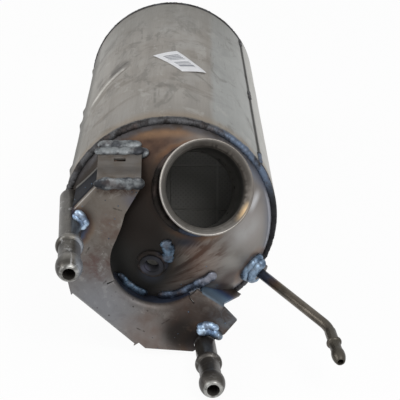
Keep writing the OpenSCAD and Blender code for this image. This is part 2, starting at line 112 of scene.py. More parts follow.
# Oxide colours outward from a weld, as shares of the reach and screen levels
WARM_OXIDE = ((0.0, (52, 52, 58)), (0.22, (62, 58, 62)), (0.42, (82, 64, 54)), (0.68, (112, 84, 62)),
              (1.0, (140, 122, 104)))
BLUE_OXIDE = ((0.0, (56, 60, 72)), (0.2, (64, 76, 100)), (0.38, (80, 76, 88)), (0.55, (92, 74, 64)),
              (0.78, (122, 100, 80)), (1.0, (146, 134, 120)))
FLANGE_OXIDE = ((0.0, (104, 118, 130)), (0.42, (104, 130, 154)), (0.7, (54, 76, 116)), (0.88, (64, 54, 66)),
                (1.0, (60, 47, 40)))

# The stage, in metres in the row's frame
CAMERA_PLACE = (0.009556, -1.233711, 0.352576)
CAMERA_LOOK = (0.01439, 0.92068, -0.39005)
SENSOR_WIDTH = 36
LAMP_TARGET = Vector((0, -0.3, 0))
# Name, place, size and power of each lamp
LAMPS = (("key_light", (0.75, -1.55, 1.5), 1.1, 17), ("left_light", (-1.5, -0.8, 0.9), 1.0, 9))
FLOOR_HALF = 4.0
FLOOR_GAP = 0.0005
FLOOR_GREY = (0.9, 0.9, 0.9)
FLOOR_WHITE = 0.95
ROOM_COLOUR = (0.96, 0.98, 1.0)
ROOM_LIGHT = 0.45

# Meshes: lengths in metres and turns in degrees
PIN_EDGE = 0.0004
MOUTH_EDGE = 0.0003
TUBE_EDGE = 0.0002
PAPER_THICKNESS = 0.00018
MERGE_GAP = 3e-6
THIN_EDGE = 1e-6
FLAT_TURN = 0.4
SHARP_TURN = 28
BREAK_TURN = 50
BROKEN_SHARP_TURN = 40
SHELL_SHARP_TURN = 32
RIPPLE_OVERLAP = 1.75
DROP_SPREAD = (0.4, 1.6)
FIRST_SPATTER_SEED = 20


def srgb(*levels):
    """A colour from its screen levels, 0 to 255, as linear values."""
    parts = [level / 255 for level in levels]
    return tuple(c / 12.92 if c <= 0.04045 else ((c + 0.055) / 1.055) ** 2.4 for c in parts)


def shade(colour, factor):
    """A colour made darker or lighter."""
    return tuple(min(c * factor, 1.0) for c in colour)


def at(x, y, z):
    """A point of the design frame in the row's frame, in metres."""
    return Vector((x, -(z + EDGE_DEPTH), y)) / 1000


def facing(x, y, z):
    """A direction of the design frame in the row's frame."""
    return Vector((x, -z, y)).normalized()


def ray(tilt, turn):
    """The direction that leans from the axis by tilt and then turns about it."""
    lean = math.radians(tilt)
    spin = math.radians(turn)
    return Vector((math.sin(lean) * math.cos(spin), math.sin(lean) * math.sin(spin), math.cos(lean)))


def on_dish(x, y, lift=0.0):
    """The point of the dish's outside under a place of the face view."""
    return Vector((x, y, DISH_Z + math.sqrt((DISH_R + lift) ** 2 - x * x - y * y)))


def dish_point(direction):
    """The dish's outside along a ray from its centre."""
    return DISH_CENTRE + ray(*direction) * DISH_R


def on_plate(x, y, lift=0.0):
    """The point of the bracket's face at a place of the face view."""
    return Vector((x, y, PLATE_Z + lift))


def smooth(value, low, high):
    """0 below low, 1 above high, with a soft rise between."""
    t = min(max((value - low) / (high - low), 0.0), 1.0)
    return t * t * (3 - 2 * t)


class Flow:
    """A socket that takes part in sums."""

    def __init__(self, owner, socket):
        self.owner = owner
        self.socket = socket

    def sum(self, operation, *terms):
        return self.owner.node("ShaderNodeMath", {"operation": operation}, terms)

    def __add__(self, other):
        return self.sum("ADD", self, other)

    def __sub__(self, other):
        return self.sum("SUBTRACT", self, other)

    def __rsub__(self, other):
        return self.sum("SUBTRACT", other, self)

    def __mul__(self, other):
        return self.sum("MULTIPLY", self, other)

    def __truediv__(self, other):
        return self.sum("DIVIDE", self, other)

    __radd__ = __add__
    __rmul__ = __mul__

    def size(self):
        return self.sum("ABSOLUTE", self)

    def most(self, other):
        return self.sum("MAXIMUM", self, other)

    def part(self):
        return self.sum("FRACT", self)

    def floor(self):
        return self.sum("FLOOR", self)

    def rise(self, low, high):
        """0 at low and 1 at high, softly."""
        sockets = {"Value": self, "From Min": low, "From Max": high}
        return self.owner.node("ShaderNodeMapRange", {"interpolation_type": "SMOOTHSTEP"}, sockets)


class Nodes:
    """A node tree that is built step by step."""

    def __init__(self, tree):
        self.tree = tree
        tree.nodes.clear()

    def node(self, kind, settings=None, sockets=(), out=0):
        """Adds a node: its settings first, then the values or links of its sockets."""
        made = self.tree.nodes.new(kind)
        for key, value in (settings or {}).items():
            if key == "stops":
                self.set_stops(made.color_ramp.elements, value)
            else:
                setattr(made, key, value)
        for key, value in sockets.items() if isinstance(sockets, dict) else enumerate(sockets):
            socket = made.inputs[key]
            if isinstance(value, Flow):
                self.tree.links.new(value.socket, socket)
            else:
                socket.default_value = (*value, 1.0) if socket.type == "RGBA" else value
        return Flow(self, made.outputs[out]) if made.outputs else None

    @staticmethod
    def set_stops(elements, stops):
        while len(elements) < len(stops):
            elements.new(1.0)
        for element, (position, levels) in zip(elements, stops):
            element.position = position
            element.color = (*srgb(*levels), 1.0)

    def vectors(self, operation, *terms, out=0):
        return self.node("ShaderNodeVectorMath", {"operation": operation}, terms, out)


class Finish(Nodes):
    """One procedural material. Its paint is laid on in thin coats, the last on top."""

    def __init__(self, name, metallic):
        self.material = bpy.data.materials.new(name)
        self.material.use_nodes = True
        super().__init__(self.material.node_tree)
        self.metallic = metallic
        self.paint = None
        self.place = self.node("ShaderNodeTexCoord", out="Object")
        row = self.split(self.place)
        self.across = row[0] * 1000
        self.up = row[2] * 1000
        self.front = row[1] * -1000 - EDGE_DEPTH

    def split(self, vector):
        made = self.node("ShaderNodeSeparateXYZ", {}, (vector,)).socket.node
        return [Flow(self, output) for output in made.outputs]

    def vector(self, x, y, z):
        return self.node("ShaderNodeCombineXYZ", {}, (x, y, z))

    def stretch(self, x, y, z):
        """The place with each row axis scaled, so that grain runs one way."""
        return self.vectors("MULTIPLY", self.place, (x, y, z))

    def noise(self, scale, detail=3.0, rough=0.55, vector=None, twist=0.0):
        sockets = {"Vector": vector or self.place, "Scale": scale, "Detail": detail,
                   "Roughness": rough, "Distortion": twist}
        return self.node("ShaderNodeTexNoise", {"noise_dimensions": "3D"}, sockets)

    def cells(self, scale):
        return self.node("ShaderNodeTexVoronoi", {"feature": "F1"}, {"Vector": self.place, "Scale": scale})

    def mix(self, share, first, second):
        sockets = {0: share, 6: first, 7: second}
        return self.node("ShaderNodeMix", {"data_type": "RGBA"}, sockets, out=2)

    def blend(self, share, first, second):
        """A mix of two colours, given by their screen levels."""
        return self.mix(share, srgb(*first), srgb(*second))

    def ramp(self, value, stops):
        return self.node("ShaderNodeValToRGB", {"stops": stops}, {"Fac": value})

    def radius(self):
        """Millimetres from the shell's axis."""
        return self.vectors("LENGTH", self.vector(self.across, self.up, 0.0), out="Value")

    def away(self, point):
        """Millimetres from a point of the design frame."""
        return self.vectors("DISTANCE", self.place, at(*point), out="Value") * 1000

    def beside(self, point, direction):
        """Millimetres from a line of the design frame."""
        offset = self.vectors("SUBTRACT", self.place, at(*point))
        cross = self.vectors("CROSS_PRODUCT", offset, facing(*direction))
        return self.vectors("LENGTH", cross, out="Value") * 1000

    def along(self, point, direction):
        """Millimetres along a line of the design frame, from its point."""
        offset = self.vectors("SUBTRACT", self.place, at(*point))
        return self.vectors("DOT_PRODUCT", offset, facing(*direction), out="Value") * 1000

    def near(self, point, reach, soft):
        """1 at a point, 0 past its reach."""
        return self.away(point).rise(reach, soft)

    def line(self, start, end, half, soft=0.5):
        """1 on a straight mark, 0 beside it and past its ends."""
        run = Vector(end) - Vector(start)
        length = run.length
        travel = self.along(start, run)
        inside = travel.rise(-half, half) * travel.rise(length + half, length - half)
        return self.beside(start, run).rise(half, half * soft) * inside

    def ground(self, share, colour, low, high):
        """The first coat: one colour, darker and lighter."""
        self.paint = self.mix(share, shade(colour, low), shade(colour, high))

    def lay(self, share, *colour):
        """A coat over the paint so far: three screen levels, or one colour or mix."""
        over = srgb(*colour) if len(colour) == 3 else colour[0]
        self.paint = self.mix(share, self.paint, over)

    def spot(self, point, reach, soft, share, *colour):
        """A coat round a point."""
        self.lay(self.near(point, reach, soft) * share, *colour)

    def mark(self, start, end, half, share, *colour):
        """A coat along a straight mark with soft sides."""
        self.lay(self.line(start, end, half, 0.0) * share, *colour)

    def temper(self, distance, reach, share, oxide):
        """Oxide colours that run outward from a weld."""
        wander = (distance + (self.noise(90, 3) - 0.5) * reach * 0.7) / reach
        self.lay(wander.rise(1.0, 0.45) * share, self.ramp(wander, oxide))

    def done(self, roughness, height, depth, strength):
        """Feeds the shader and returns the material."""
        bump = self.node("ShaderNodeBump", {}, {"Strength": strength, "Distance": depth, "Height": height})
        sockets = {"Base Color": self.paint, "Roughness": roughness, "Metallic": self.metallic,
                   "Specular IOR Level": 0.25, "Normal": bump}
        shader = self.node("ShaderNodeBsdfPrincipled", {}, sockets)
        self.node("ShaderNodeOutputMaterial", {}, {"Surface": shader})
        return self.material


def length_field(name, description, default):
    return bpy.props.FloatProperty(name=name, description=description, default=default, unit="LENGTH")


def colour_field(name, description, *levels):
    return bpy.props.FloatVectorProperty(
        name=name, description=description, default=srgb(*levels), subtype="COLOR")


class FilterSizes(bpy.types.PropertyGroup):
    """Sizes of the dressed pieces."""

    ripple_pitch: length_field("Ripple pitch", "Distance between the ripples of a weld", 0.0021)
    rim_bead: length_field("Rim bead", "Width of the bead round the shell's edge", 0.0068)
    edge_break: length_field("Edge break", "Rounding of the sheet metal's cut edges", 0.00035)
    crease_depth: length_field("Crease depth", "Depth of the knock on the shell's left side", 0.0009)
    tack_height: length_field("Tack height", "Height of the small tacks down the shell's left side", 0.0013)
    label_lift: length_field("Label lift", "How far the loose corner of the label stands up", 0.0007)
    spatter_size: length_field("Spatter size", "Radius of the drops beside the welds", 0.00032)
    lens: bpy.props.FloatProperty(
        name="Lens", description="Focal length on a 36 mm sensor", default=108.15,
        subtype="DISTANCE_CAMERA")


class FilterColours(bpy.types.PropertyGroup):
    """Colours of the finishes."""

    shell: colour_field("Shell", "Brushed sheet of the shell", 156, 152, 146)
    dish: colour_field("Dish", "Bare sheet of the outlet dish", 134, 129, 124)
    plate: colour_field("Plate", "Sheet of the hanger bracket", 116, 111, 107)
    strap: colour_field("Strap", "Sheet of the strap", 110, 106, 102)
    pin: colour_field("Pin", "Tube of the hangers", 92, 89, 84)
    pipe: colour_field("Pipe", "Pressure pipe", 98, 92, 84)
    soot: colour_field("Soot", "Soot inside the outlet", 34, 33, 31)
    paper: colour_field("Paper", "Paper of the label", 226, 226, 228)


def sizes():
    return bpy.context.scene.filter_sizes


def colours():
    return bpy.context.scene.filter_colours


def shell_finish():
    """Dull rolled steel with lengthwise streaks and stains; paler sides as painted reflection and painted
    light on the right half; painted shade low on the left and along the seam; a crease with a bright line,
    partly scraped and partly painted highlight, and painted shade in its dent; a scorched edge.
    """
    f = Finish("rolled_shell_steel", 0.72)
    streak = f.noise(150, 4, 0.6, f.stretch(1.0, 0.05, 1.0))
    fine = f.noise(900, 3, 0.6, f.stretch(1.0, 0.03, 1.0))
    cloud = f.noise(14, 4, 0.6)
    stain = f.noise(26, 5, 0.65, twist=0.6).rise(0.5, 0.7)
    f.ground(streak.rise(0.3, 0.7), colours().shell, 0.9, 1.08)
    f.lay(cloud.rise(0.35, 0.7) * 0.55, 138, 131, 122)
    f.lay(stain * 0.45, 118, 111, 102)
    f.lay(f.noise(20, 4, 0.6, f.stretch(1.0, 0.5, 1.0)).rise(0.5, 0.66) * 0.4, 176, 175, 172)
    # Painted reflection: both sides paler than the middle, as metal that mirrors a bright room; darker
    # towards the outlet end; and a paler, cooler right half, partly painted light from the right and partly
    # whiter sheet
    sides = f.across.rise(40, 74) + f.across.rise(-40, -74) * f.front.rise(-60, -130) * 0.45
    f.lay(sides * 0.6, 190, 187, 181)
    f.lay(f.front.rise(-70, -12) * 0.35, 132, 128, 122)
    f.lay(f.across.rise(-52, -74) * cloud.rise(0.25, 0.6) * 0.5, 116, 115, 109)
    # Painted light on the right half, partly light from the right and partly a whiter, cooler sheet
    pale_lit_right = f.across + f.front * 0.02 + (f.noise(30, 3) - 0.5) * 4
    f.lay(pale_lit_right.rise(28, 34) * 0.5, 166, 172, 173)
    patch = f.noise(44, 5, 0.68, f.stretch(1.0, 0.45, 1.0), 0.8)
    f.lay(patch.rise(0.53, 0.64) * 0.5, 108, 105, 99)
    f.lay(patch.rise(0.42, 0.34) * 0.4, 182, 180, 175)
    # Painted shade on the lower part of the left flank
    shaded_low_side = (f.up + (cloud - 0.5) * 8).rise(41, 30) * f.up.rise(-30, 20) * f.across.rise(-56, -68)
    f.lay(shaded_low_side * 0.75, 86, 85, 80)
    scratch = f.noise(700, 2, 0.5, f.stretch(1.0, 0.035, 1.0)).rise(0.66, 0.72)
    f.lay(scratch * f.noise(30, 3).rise(0.48, 0.6) * 0.55, 104, 101, 96)
    # Painted light on the lap beyond the seam, partly light from the right and partly whiter sheet
    lap = f.along((0, 0, 0), (SEAM_OUT.y, -SEAM_OUT.x, 0)).rise(0.0, 0.8)
    f.lay(lap * f.across.rise(40, 60) * 0.6, 196, 194, 188)
    f.lay(f.front.rise(-200, -320) * f.up.rise(20, 70) * 0.6, 122, 121, 116)
    # The knock on the left: a bright line on its ridge, partly scraped metal and partly painted highlight,
    # a dark smudge, and painted shade in the dent beside it
    f.lay(f.line(*CREASE, 3.4) * f.noise(120, 4).rise(0.25, 0.5) * 0.95, 222, 219, 213)
    smudge = f.noise(70, 5, 0.7, f.stretch(1.0, 0.5, 1.0)).rise(0.4, 0.62)
    f.lay(f.near((-46, 64, -160), 22, 2) * smudge * 0.75, 84, 81, 77)
    # Painted shade in the dent beside the ridge
    dent_shade = f.line((-56, 52, -150), (-34, 71, -170), 3.0) * f.noise(220, 3).rise(0.35, 0.6)
    f.lay(dent_shade * 0.75, 82, 78, 73)
    # Both ends, and painted shade along the step of the seam
    edge = f.front + (f.noise(60, 3) - 0.5) * 10
    f.lay(edge.rise(-22, -5) * 0.5, 140, 122, 98)
    f.lay(edge.rise(-7, -1), 66, 64, 68)
    f.lay(f.front.rise(-330.5, -333.5), 58, 56, 53)
    f.lay(f.beside(SEAM_OUT * SHELL_R, AXIS).rise(2.6, 0.8) * 0.75, 74, 72, 70)
    drip = f.line((-10.9, 76.2, -72), (-10, 76.4, -24), 1.7, 0.0)
    far_drip = f.line((-26.4, 72.4, -262), (-25, 72.8, -222), 1.5, 0.0)
    f.lay((drip + far_drip) * f.noise(90, 3).rise(0.3, 0.6) * 0.5, 98, 95, 90)
    f.lay(f.cells(330).rise(0.16, 0.05) * f.noise(40).rise(0.55, 0.7) * 0.5, 92, 88, 82)
    height = fine * 0.35 + streak * 0.25 + f.noise(22, 2) * 0.6
    return f.done(0.42 + fine * 0.2 + stain * 0.1, height, 0.0005, 0.35)


def dish_finish():
    """Spun dish: brown heat colours, streaks that fan out from the boss, painted highlights on the right,
    and painted shadow under the bracket and beside the outlet.
    """
    f = Finish("tinted_dish_steel", 0.72)
    blotch = f.noise(38, 5, 0.62, twist=0.5)
    mottle = f.noise(110, 4, 0.6)
    radius = f.radius()
    f.ground(blotch.rise(0.3, 0.7), colours().dish, 0.86, 1.1)
    f.lay(f.noise(16, 3, 0.5).rise(0.45, 0.65) * 0.4, 118, 112, 110)
    # The fan of streaks beside the boss
    fan = f.vectors("NORMALIZE", f.vector(f.across + 26, f.up + 38, 0.0))
    streak = f.noise(9, 4, 0.62, f.vectors("ADD", fan, f.stretch(4, 4, 4)))
    f.spot((10, -16, 44), 36, 8, 0.9, 108, 91, 82)
    f.lay(streak.rise(0.46, 0.6) * f.near((14, -18, 44), 44, 14) * 0.85, 74, 52, 42)
    f.spot((3, -15, 44), 20, 5, 0.6, 48, 40, 37)
    f.lay(streak.rise(0.46, 0.36) * f.near((16, -16, 42), 42, 14) * 0.55, 136, 128, 120)
    # Painted highlights on the right, and painted shade under the bracket's right flange
    f.spot((56, 4, 22), 26, 2, 0.55, 166, 162, 160)
    f.lay(f.near((46, -18, 28), 17, 2) * mottle.rise(0.2, 0.6) * 0.5, 150, 150, 146)
    f.spot((37, -30, 31), 13, 3, 0.5, 98, 96, 94)
    f.spot((43, -38, 23), 15, 5, 0.9, 70, 58, 54)
    # Heat colours at the top, with an ember-coloured stripe
    f.spot((-16, 52, 26), 58, 18, 0.96, f.blend(mottle.rise(0.3, 0.7), (68, 51, 43), (92, 70, 57)))
    f.lay(f.line((-22, 67, 6), (14, 71, 7), 9, 0.1) * blotch.rise(0.22, 0.5) * 0.95, 164, 130, 100)
    f.spot((38, 66, -4), 22, 4, 0.7, 104, 86, 70)
    f.spot((62, 44, -4), 22, 6, 0.8, 120, 130, 143)
    # Beside the outlet pipe: a painted gleam, a painted sheen and painted shadow under it
    f.mark((57, 16, 21), (63, 24.5, 12), 5, 0.8, 204, 204, 206)
    f.lay(f.line((44, -2, 33), (62, 4, 18), 12, 0.0) * mottle.rise(0.1, 0.6) * 0.5, 172, 174, 174)
    f.mark((-2, 8, 45), (26, 6, 42), 9, 0.9, 34, 33, 33)
    f.temper(f.beside(DISH_CENTRE, ray(*OUTLET_RAY)) - OUTLET_R, 9, 0.8, WARM_OXIDE)
    f.mark((2, 1.5, 45.5), (19, 2, 43.5), 8, 0.92, 38, 43, 53)
    # The rim
    rim = (radius + (f.noise(60, 3) - 0.5) * 8).rise(66, 75)
    f.lay(rim * 0.8, f.blend(f.across.rise(20, 60), (72, 58, 50), (98, 106, 124)))
    # Painted highlight: a bright line on the dish's edge at the right
    rim_highlight = (radius - 72.6).size().rise(1.6, 0.4) * f.across.rise(62, 70) * f.up.rise(30, 10)
    f.lay(rim_highlight * 0.7, 196, 198, 206)
    f.spot((-60, 40, 2), 30, 12, 0.94, 44, 39, 35)
    # The bosses and the right bracket weld
    f.temper(f.beside(DISH_CENTRE, ray(*BOSS_RAY)) - BOSS_R, 9, 0.8, WARM_OXIDE)
    f.temper(f.away(dish_point(PIPE_BOSS_RAY)) - PIPE_BOSS_R, 13, 0.75, WARM_OXIDE)
    f.mark(on_dish(6, -43), on_dish(*RIGHT_BEAD_END), 10, 0.9, 56, 46, 44)
    # Painted shadow under the bracket and left of the outlet, then a blue-grey deposit under the sensor
    # boss, a grey band at the top of the rim and soot on the inside
    shadow = f.beside((-27, -14, 0), AXIS).rise(47, 25)
    f.lay(shadow * 0.97, 39, 39, 38)
    f.lay(f.beside((-20, 20, 0), AXIS).rise(36, 12) * 0.94, 42, 37, 34)
    f.spot((-14, 46, 32), 21, 6, 0.85, 54, 46, 41)
    f.spot((-13, -25, 41), 12, 2, 0.6, 56, 61, 72)
    band = (radius + (mottle - 0.5) * 3).rise(69.5, 72.5) * f.up.rise(20, 50)
    f.lay(band * 0.85, f.blend(mottle.rise(0.35, 0.65), (66, 63, 62), (88, 87, 90)))
    f.lay(f.away(DISH_CENTRE).rise(DISH_R - 0.8, DISH_R - 1.3), shade(colours().soot, 0.5))
    height = f.noise(700, 3) * 0.3 + f.noise(30, 3) * 0.7
    return f.done(0.34 + blotch * 0.2 + shadow * 0.2, height, 0.0004, 0.3)


def mouth_finish():
    """Outlet pipe: a bright lip, partly worn and partly painted highlight, a tan flare with painted shade
    on its far side, painted shade on the pipe's left side, and a bore painted pale as light inside it.
    """
    f = Finish("outlet_pipe_steel", 0.78)
    outlet = ray(*OUTLET_RAY)
    reach = f.along(DISH_CENTRE, outlet)
    lip = reach - OUTLET_END
    radius = f.beside(DISH_CENTRE, outlet)
    grain = f.noise(240, 4)
    blotch = f.noise(50, 4)
    f.paint = f.blend(grain.rise(0.3, 0.7), (88, 80, 72), (116, 107, 98))
    f.lay(blotch.rise(0.4, 0.65) * 0.7, 84, 64, 50)
    f.temper(reach - DISH_R + 4, 14, 0.9, WARM_OXIDE)
    # Painted shade on the left and lower side of the pipe's outside
    f.lay((f.across - f.up * 0.5).rise(4, -14) * lip.rise(-3, -8) * 0.95, 33, 30, 28)
    outside = f.paint
    # The flare, with painted shade on its far side
    turned = f.noise(30, 4, 0.65, f.vector(radius * 0.16, reach * 0.05, 0.0))
    worn = f.noise(26, 3, 0.6, twist=0.5)
    far = ((f.across - 26) * 0.8 + (f.up - 46) * 0.6).rise(-14, 16)
    f.paint = f.blend(turned.rise(0.35, 0.65), (98, 93, 87), (140, 134, 126))
    f.lay(blotch.rise(0.5, 0.7) * 0.5, 104, 90, 76)
    f.lay(0.65, 186, 182, 176)
    f.lay(far * 0.75, 54, 48, 43)
    f.lay(turned.rise(0.52, 0.62) * 0.55, 64, 56, 49)
    f.lay(turned.rise(0.46, 0.36) * worn.rise(0.4, 0.6) * 0.6, 204, 196, 182)
    f.paint = f.mix(lip.rise(-6.6, -5.6) * radius.rise(32.6, 32.2), outside, f.paint)
    # A painted golden glint, the bore painted pale as light inside it, and the lip, partly worn and partly
    # painted highlight, with painted shade on its far side
    f.mark((48, 24, 57), (53.5, 31.5, 52), 5, 0.9, 232, 200, 156)
    bore = lip.rise(-5.4, -6.0) * radius.rise(28.4, 27.8)
    f.lay(bore, f.blend(lip.rise(-8, -30), (76, 75, 72), (128, 126, 122)))
    bright = f.blend(blotch.rise(0.35, 0.65), (134, 131, 127), (168, 164, 158))
    f.lay(lip.rise(-1.0, -0.4) * 0.85, f.mix(far * 0.6, bright, srgb(82, 76, 71)))
    return f.done(0.3 + grain * 0.2, grain * 0.5 + blotch, 0.0003, 0.3)


def inlet_finish():
    """Drawn inlet cone and pipe: plain steel with draw marks and tint beside its welds."""
    f = Finish("inlet_cone_steel", 0.72)
    ring = f.noise(160, 4, 0.6, f.stretch(0.08, 1.0, 0.08))
    cloud = f.noise(30, 4)
    f.ground(ring.rise(0.3, 0.7), colours().shell, 0.78, 1.06)
    f.lay(cloud.rise(0.4, 0.7) * 0.5, 118, 104, 88)
    f.temper((f.front + SHELL_L).size(), 15, 0.9, BLUE_OXIDE)
    f.temper((f.front + CONE_END).size(), 12, 0.9, BLUE_OXIDE)
    f.lay(f.radius().rise(29.2, 28.8) * f.front.rise(-380, -392), colours().soot)
    return f.done(0.38 + ring * 0.2, ring * 0.6 + cloud * 0.5, 0.0004, 0.3)


def bracket_finish():
    """Pressed bracket: tan-grey plate, burnt zones and scratches, a blued right flange, and a left flange
    painted dark as shade with painted highlights on its trim and fold.
    """
    f = Finish("bracket_steel", 0.68)
    blotch = f.noise(34, 5, 0.6, twist=0.4)
    grain = f.noise(420, 4, 0.6, f.stretch(1.0, 1.0, 0.25))
    speck = f.noise(130, 5, 0.7, twist=0.5)
    f.ground(blotch.rise(0.3, 0.72), colours().plate, 0.7, 1.05)
    f.lay(speck.rise(0.5, 0.64) * 0.6, 82, 72, 66)
    f.lay(speck.rise(0.44, 0.34) * 0.5, 152, 148, 144)
    # Paler places, a violet sash and brown flushes on the face
    f.spot(on_plate(-52, -52), 46, 8, 0.6, 138, 141, 147)
    f.spot(on_plate(-14, -74), 30, 6, 0.5, 146, 141, 139)
    f.spot(on_plate(-46, 26), 40, 8, 0.6, 124, 116, 107)
    f.mark(on_plate(-28, 36), on_plate(-18, 28), 9, 0.7, 92, 92, 106)
    scorch = f.line(on_plate(-47, 41), on_plate(-20, 41), 6, 0.1)
    f.lay(scorch * speck.rise(0.3, 0.55) * 0.85, 62, 46, 38)
    f.lay(f.near(on_plate(-40, 14), 16, 3) * speck.rise(0.3, 0.6) * 0.5, 96, 72, 64)
    f.lay(f.near(on_plate(-50, -16), 17, 3) * speck.rise(0.35, 0.6) * 0.6, 92, 66, 62)
    # Burns round the pins
    f.lay(f.near(on_plate(16, -60), 31, 10) * blotch.rise(0.1, 0.45) * 0.85, 62, 51, 46)
    f.lay(f.near(on_plate(4, -60), 44, 20) * f.noise(24, 3).rise(0.4, 0.6) * 0.6, 98, 72, 58)
    f.temper(f.beside(on_plate(*LOWER_HANGER), AXIS) - 10, 12, 0.5, WARM_OXIDE)
    f.lay(f.near(on_plate(8, -70), 19, 6) * speck.rise(0.15, 0.45) * 0.9, 36, 32, 30)
    f.temper(f.beside(on_plate(*LEFT_HANGER), AXIS) - 9, 10, 0.9, BLUE_OXIDE)
    f.spot(on_plate(-60, 20), 12, 4, 0.8, 52, 40, 36)
    # The edge of the opening, pits and scratches
    lip = f.beside((*OPENING, 0), AXIS) - OPENING_R
    f.lay((lip + (blotch - 0.5) * 10).rise(7, 1) * 0.22, 78, 66, 60)
    f.lay(f.cells(210).rise(0.2, 0.1) * f.noise(26, 3).rise(0.52, 0.62) * 0.7, 52, 46, 43)
    for start, end in PLATE_SCRATCHES:
        scratch = f.line(on_plate(*start), on_plate(*end), 0.7)
        f.lay(scratch * grain.rise(0.35, 0.55) * 0.6, 52, 46, 42)
    # Painted shade: the left flange is painted near black for the dark gap behind it, with painted
    # highlights along its trim and its fold
    back = f.front.rise(44.6, 43.2)
    outer = f.across.rise(-36, -44)
    left = back * outer
    f.lay(left * 0.95, f.blend(blotch.rise(0.35, 0.65), (17, 20, 25), (30, 34, 42)))
    f.lay((f.away(DISH_CENTRE) - DISH_R).rise(3.4, 2.2) * left * 0.8, 132, 130, 126)
    f.lay((f.front - 44.9).size().rise(0.28, 0.1) * outer * 0.7, 160, 159, 156)
    # The blued right flange, the ear below it and the inner lip
    right = back * f.across.rise(14, 18) * f.up.rise(-20, -26)
    f.lay(right * 0.95, f.ramp((44 - f.front) / 29, FLANGE_OXIDE))
    f.spot(on_plate(41, -58), 17, 4, 0.7, f.blend(speck.rise(0.4, 0.6), (92, 98, 106), (70, 66, 66)))
    inner = lip.rise(4.5, 2.5) * f.front.rise(43, 40)
    f.lay(inner * 0.9, f.blend(blotch.rise(0.4, 0.6), (40, 44, 56), (62, 72, 92)))
    rough = 0.4 + blotch * 0.16 + grain * 0.1 + left * 0.2
    return f.done(rough, grain * 0.5 + f.noise(46, 3) * 0.8, 0.0004, 0.35)


def strap_finish():
    """Bent strap: lighter steel, browned at both ends."""
    f = Finish("strap_steel", 0.7)
    grain = f.noise(300, 4, 0.6, f.stretch(0.2, 1.0, 1.0))
    cloud = f.noise(70, 4)
    f.ground(grain.rise(0.3, 0.7), colours().strap, 0.84, 1.12)
    f.lay(cloud.rise(0.45, 0.68) * 0.6, 98, 88, 78)
    grime = f.noise(120, 4, 0.65).rise(0.42, 0.6) * (f.front.rise(30, 22) + f.up.rise(54, 48))
    f.lay(grime * 0.6, 70, 58, 50)
    # Painted shade along the strap's bend
    f.lay((f.up - 53).size().rise(2.4, 0.4) * 0.45, 72, 68, 66)
    f.temper(f.up - 42, 7, 0.7, WARM_OXIDE)
    f.temper(f.front - 13, 9, 0.7, WARM_OXIDE)
    return f.done(0.36 + cloud * 0.2, grain * 0.6 + cloud, 0.0003, 0.3)


def pin_finish():
    """Turned hanger tube: brown-grey with worn beads, a dark scorched root, a pale tip ring that is a
    painted highlight, bores painted pale as light, and painted shade and highlight on the sides of the left
    pin.
    """
    f = Finish("hanger_pin_steel", 0.75)
    grain = f.noise(360, 4, 0.6, f.stretch(1.0, 0.25, 1.0))
    cloud = f.noise(90, 4)
    wear = f.noise(150, 5, 0.7, f.stretch(1.0, 0.5, 1.0), 0.6)
    turned = f.noise(60, 3, 0.7, f.vector(0.0, 0.0, f.front.most(-40) * 0.012))
    left = f.across.rise(0, -20)
    lower = f.across.rise(0, 10)
    left_gap = f.beside(*LEFT_PIN)
    lower_gap = f.beside(*LOWER_PIN)
    f.ground(cloud.rise(0.3, 0.7), colours().pin, 0.72, 1.22)
    f.lay(grain.rise(0.5, 0.75) * 0.5, 132, 128, 122)
    f.lay(wear.rise(0.54, 0.62) * 0.6, 60, 57, 54)
    f.lay(wear.rise(0.42, 0.34) * 0.7, 176, 176, 176)
    f.lay(left_gap.rise(8.0, 9.2) * left * 0.45, 150, 147, 141)
    f.lay(f.front.rise(62, 50) * lower * 0.8, 64, 56, 53)
    f.lay(lower * f.front.rise(58, 70) * 0.5, 58, 55, 54)
    # Painted shade on the left pin's left side and a painted highlight on its right side
    side = f.across - f.front * 0.07 + 71.15
    grip = left * f.front.rise(60, 75)
    f.lay(side.rise(-2, -7) * grip * 0.6, 44, 42, 40)
    f.lay(side.rise(3, 7) * grip * 0.5, 188, 196, 208)
    # The bores painted pale as light inside them, the turning marks, and a painted highlight ring at the
    # tips, mottled like wear
    bores = left_gap.rise(4.5, 4.1) * left + lower_gap.rise(4.5, 4.1) * lower
    f.lay(bores, 104, 100, 95)
    f.lay(turned.rise(0.54, 0.64) * 0.5, 52, 49, 47)
    f.lay(turned.rise(0.42, 0.34) * 0.4, 158, 157, 155)
    ends = left_gap.rise(7.2, 5.8) * left + lower_gap.rise(7.2, 5.8) * lower
    tips = ends * f.front.rise(102.5, 106) * (1 - bores)
    f.lay(tips * 0.75, f.blend(wear.rise(0.4, 0.6), (188, 188, 184), (112, 111, 108)))
    return f.done(0.29 + cloud * 0.22, grain * 0.5 + cloud * 0.6, 0.0003, 0.3)


def pipe_finish():
    """Thin pressure pipe: dark drawn steel, blued beside the boss and duller at its hose end."""
    f = Finish("pressure_pipe_steel", 0.78)
    grain = f.noise(500, 4, 0.6)
    cloud = f.noise(70, 4)
    f.ground(cloud.rise(0.3, 0.7), colours().pipe, 0.74, 1.3)
    f.temper(f.away((66, -39, 14)) - 6, 20, 0.8, BLUE_OXIDE)
    f.lay(f.across.rise(104, 112) * 0.7, 66, 64, 58)
    f.spot((126, -93, 36), 6, 4, 0.5, 126, 123, 116)
    return f.done(0.28 + grain * 0.2, grain * 0.6 + cloud * 0.6, 0.0002, 0.3)


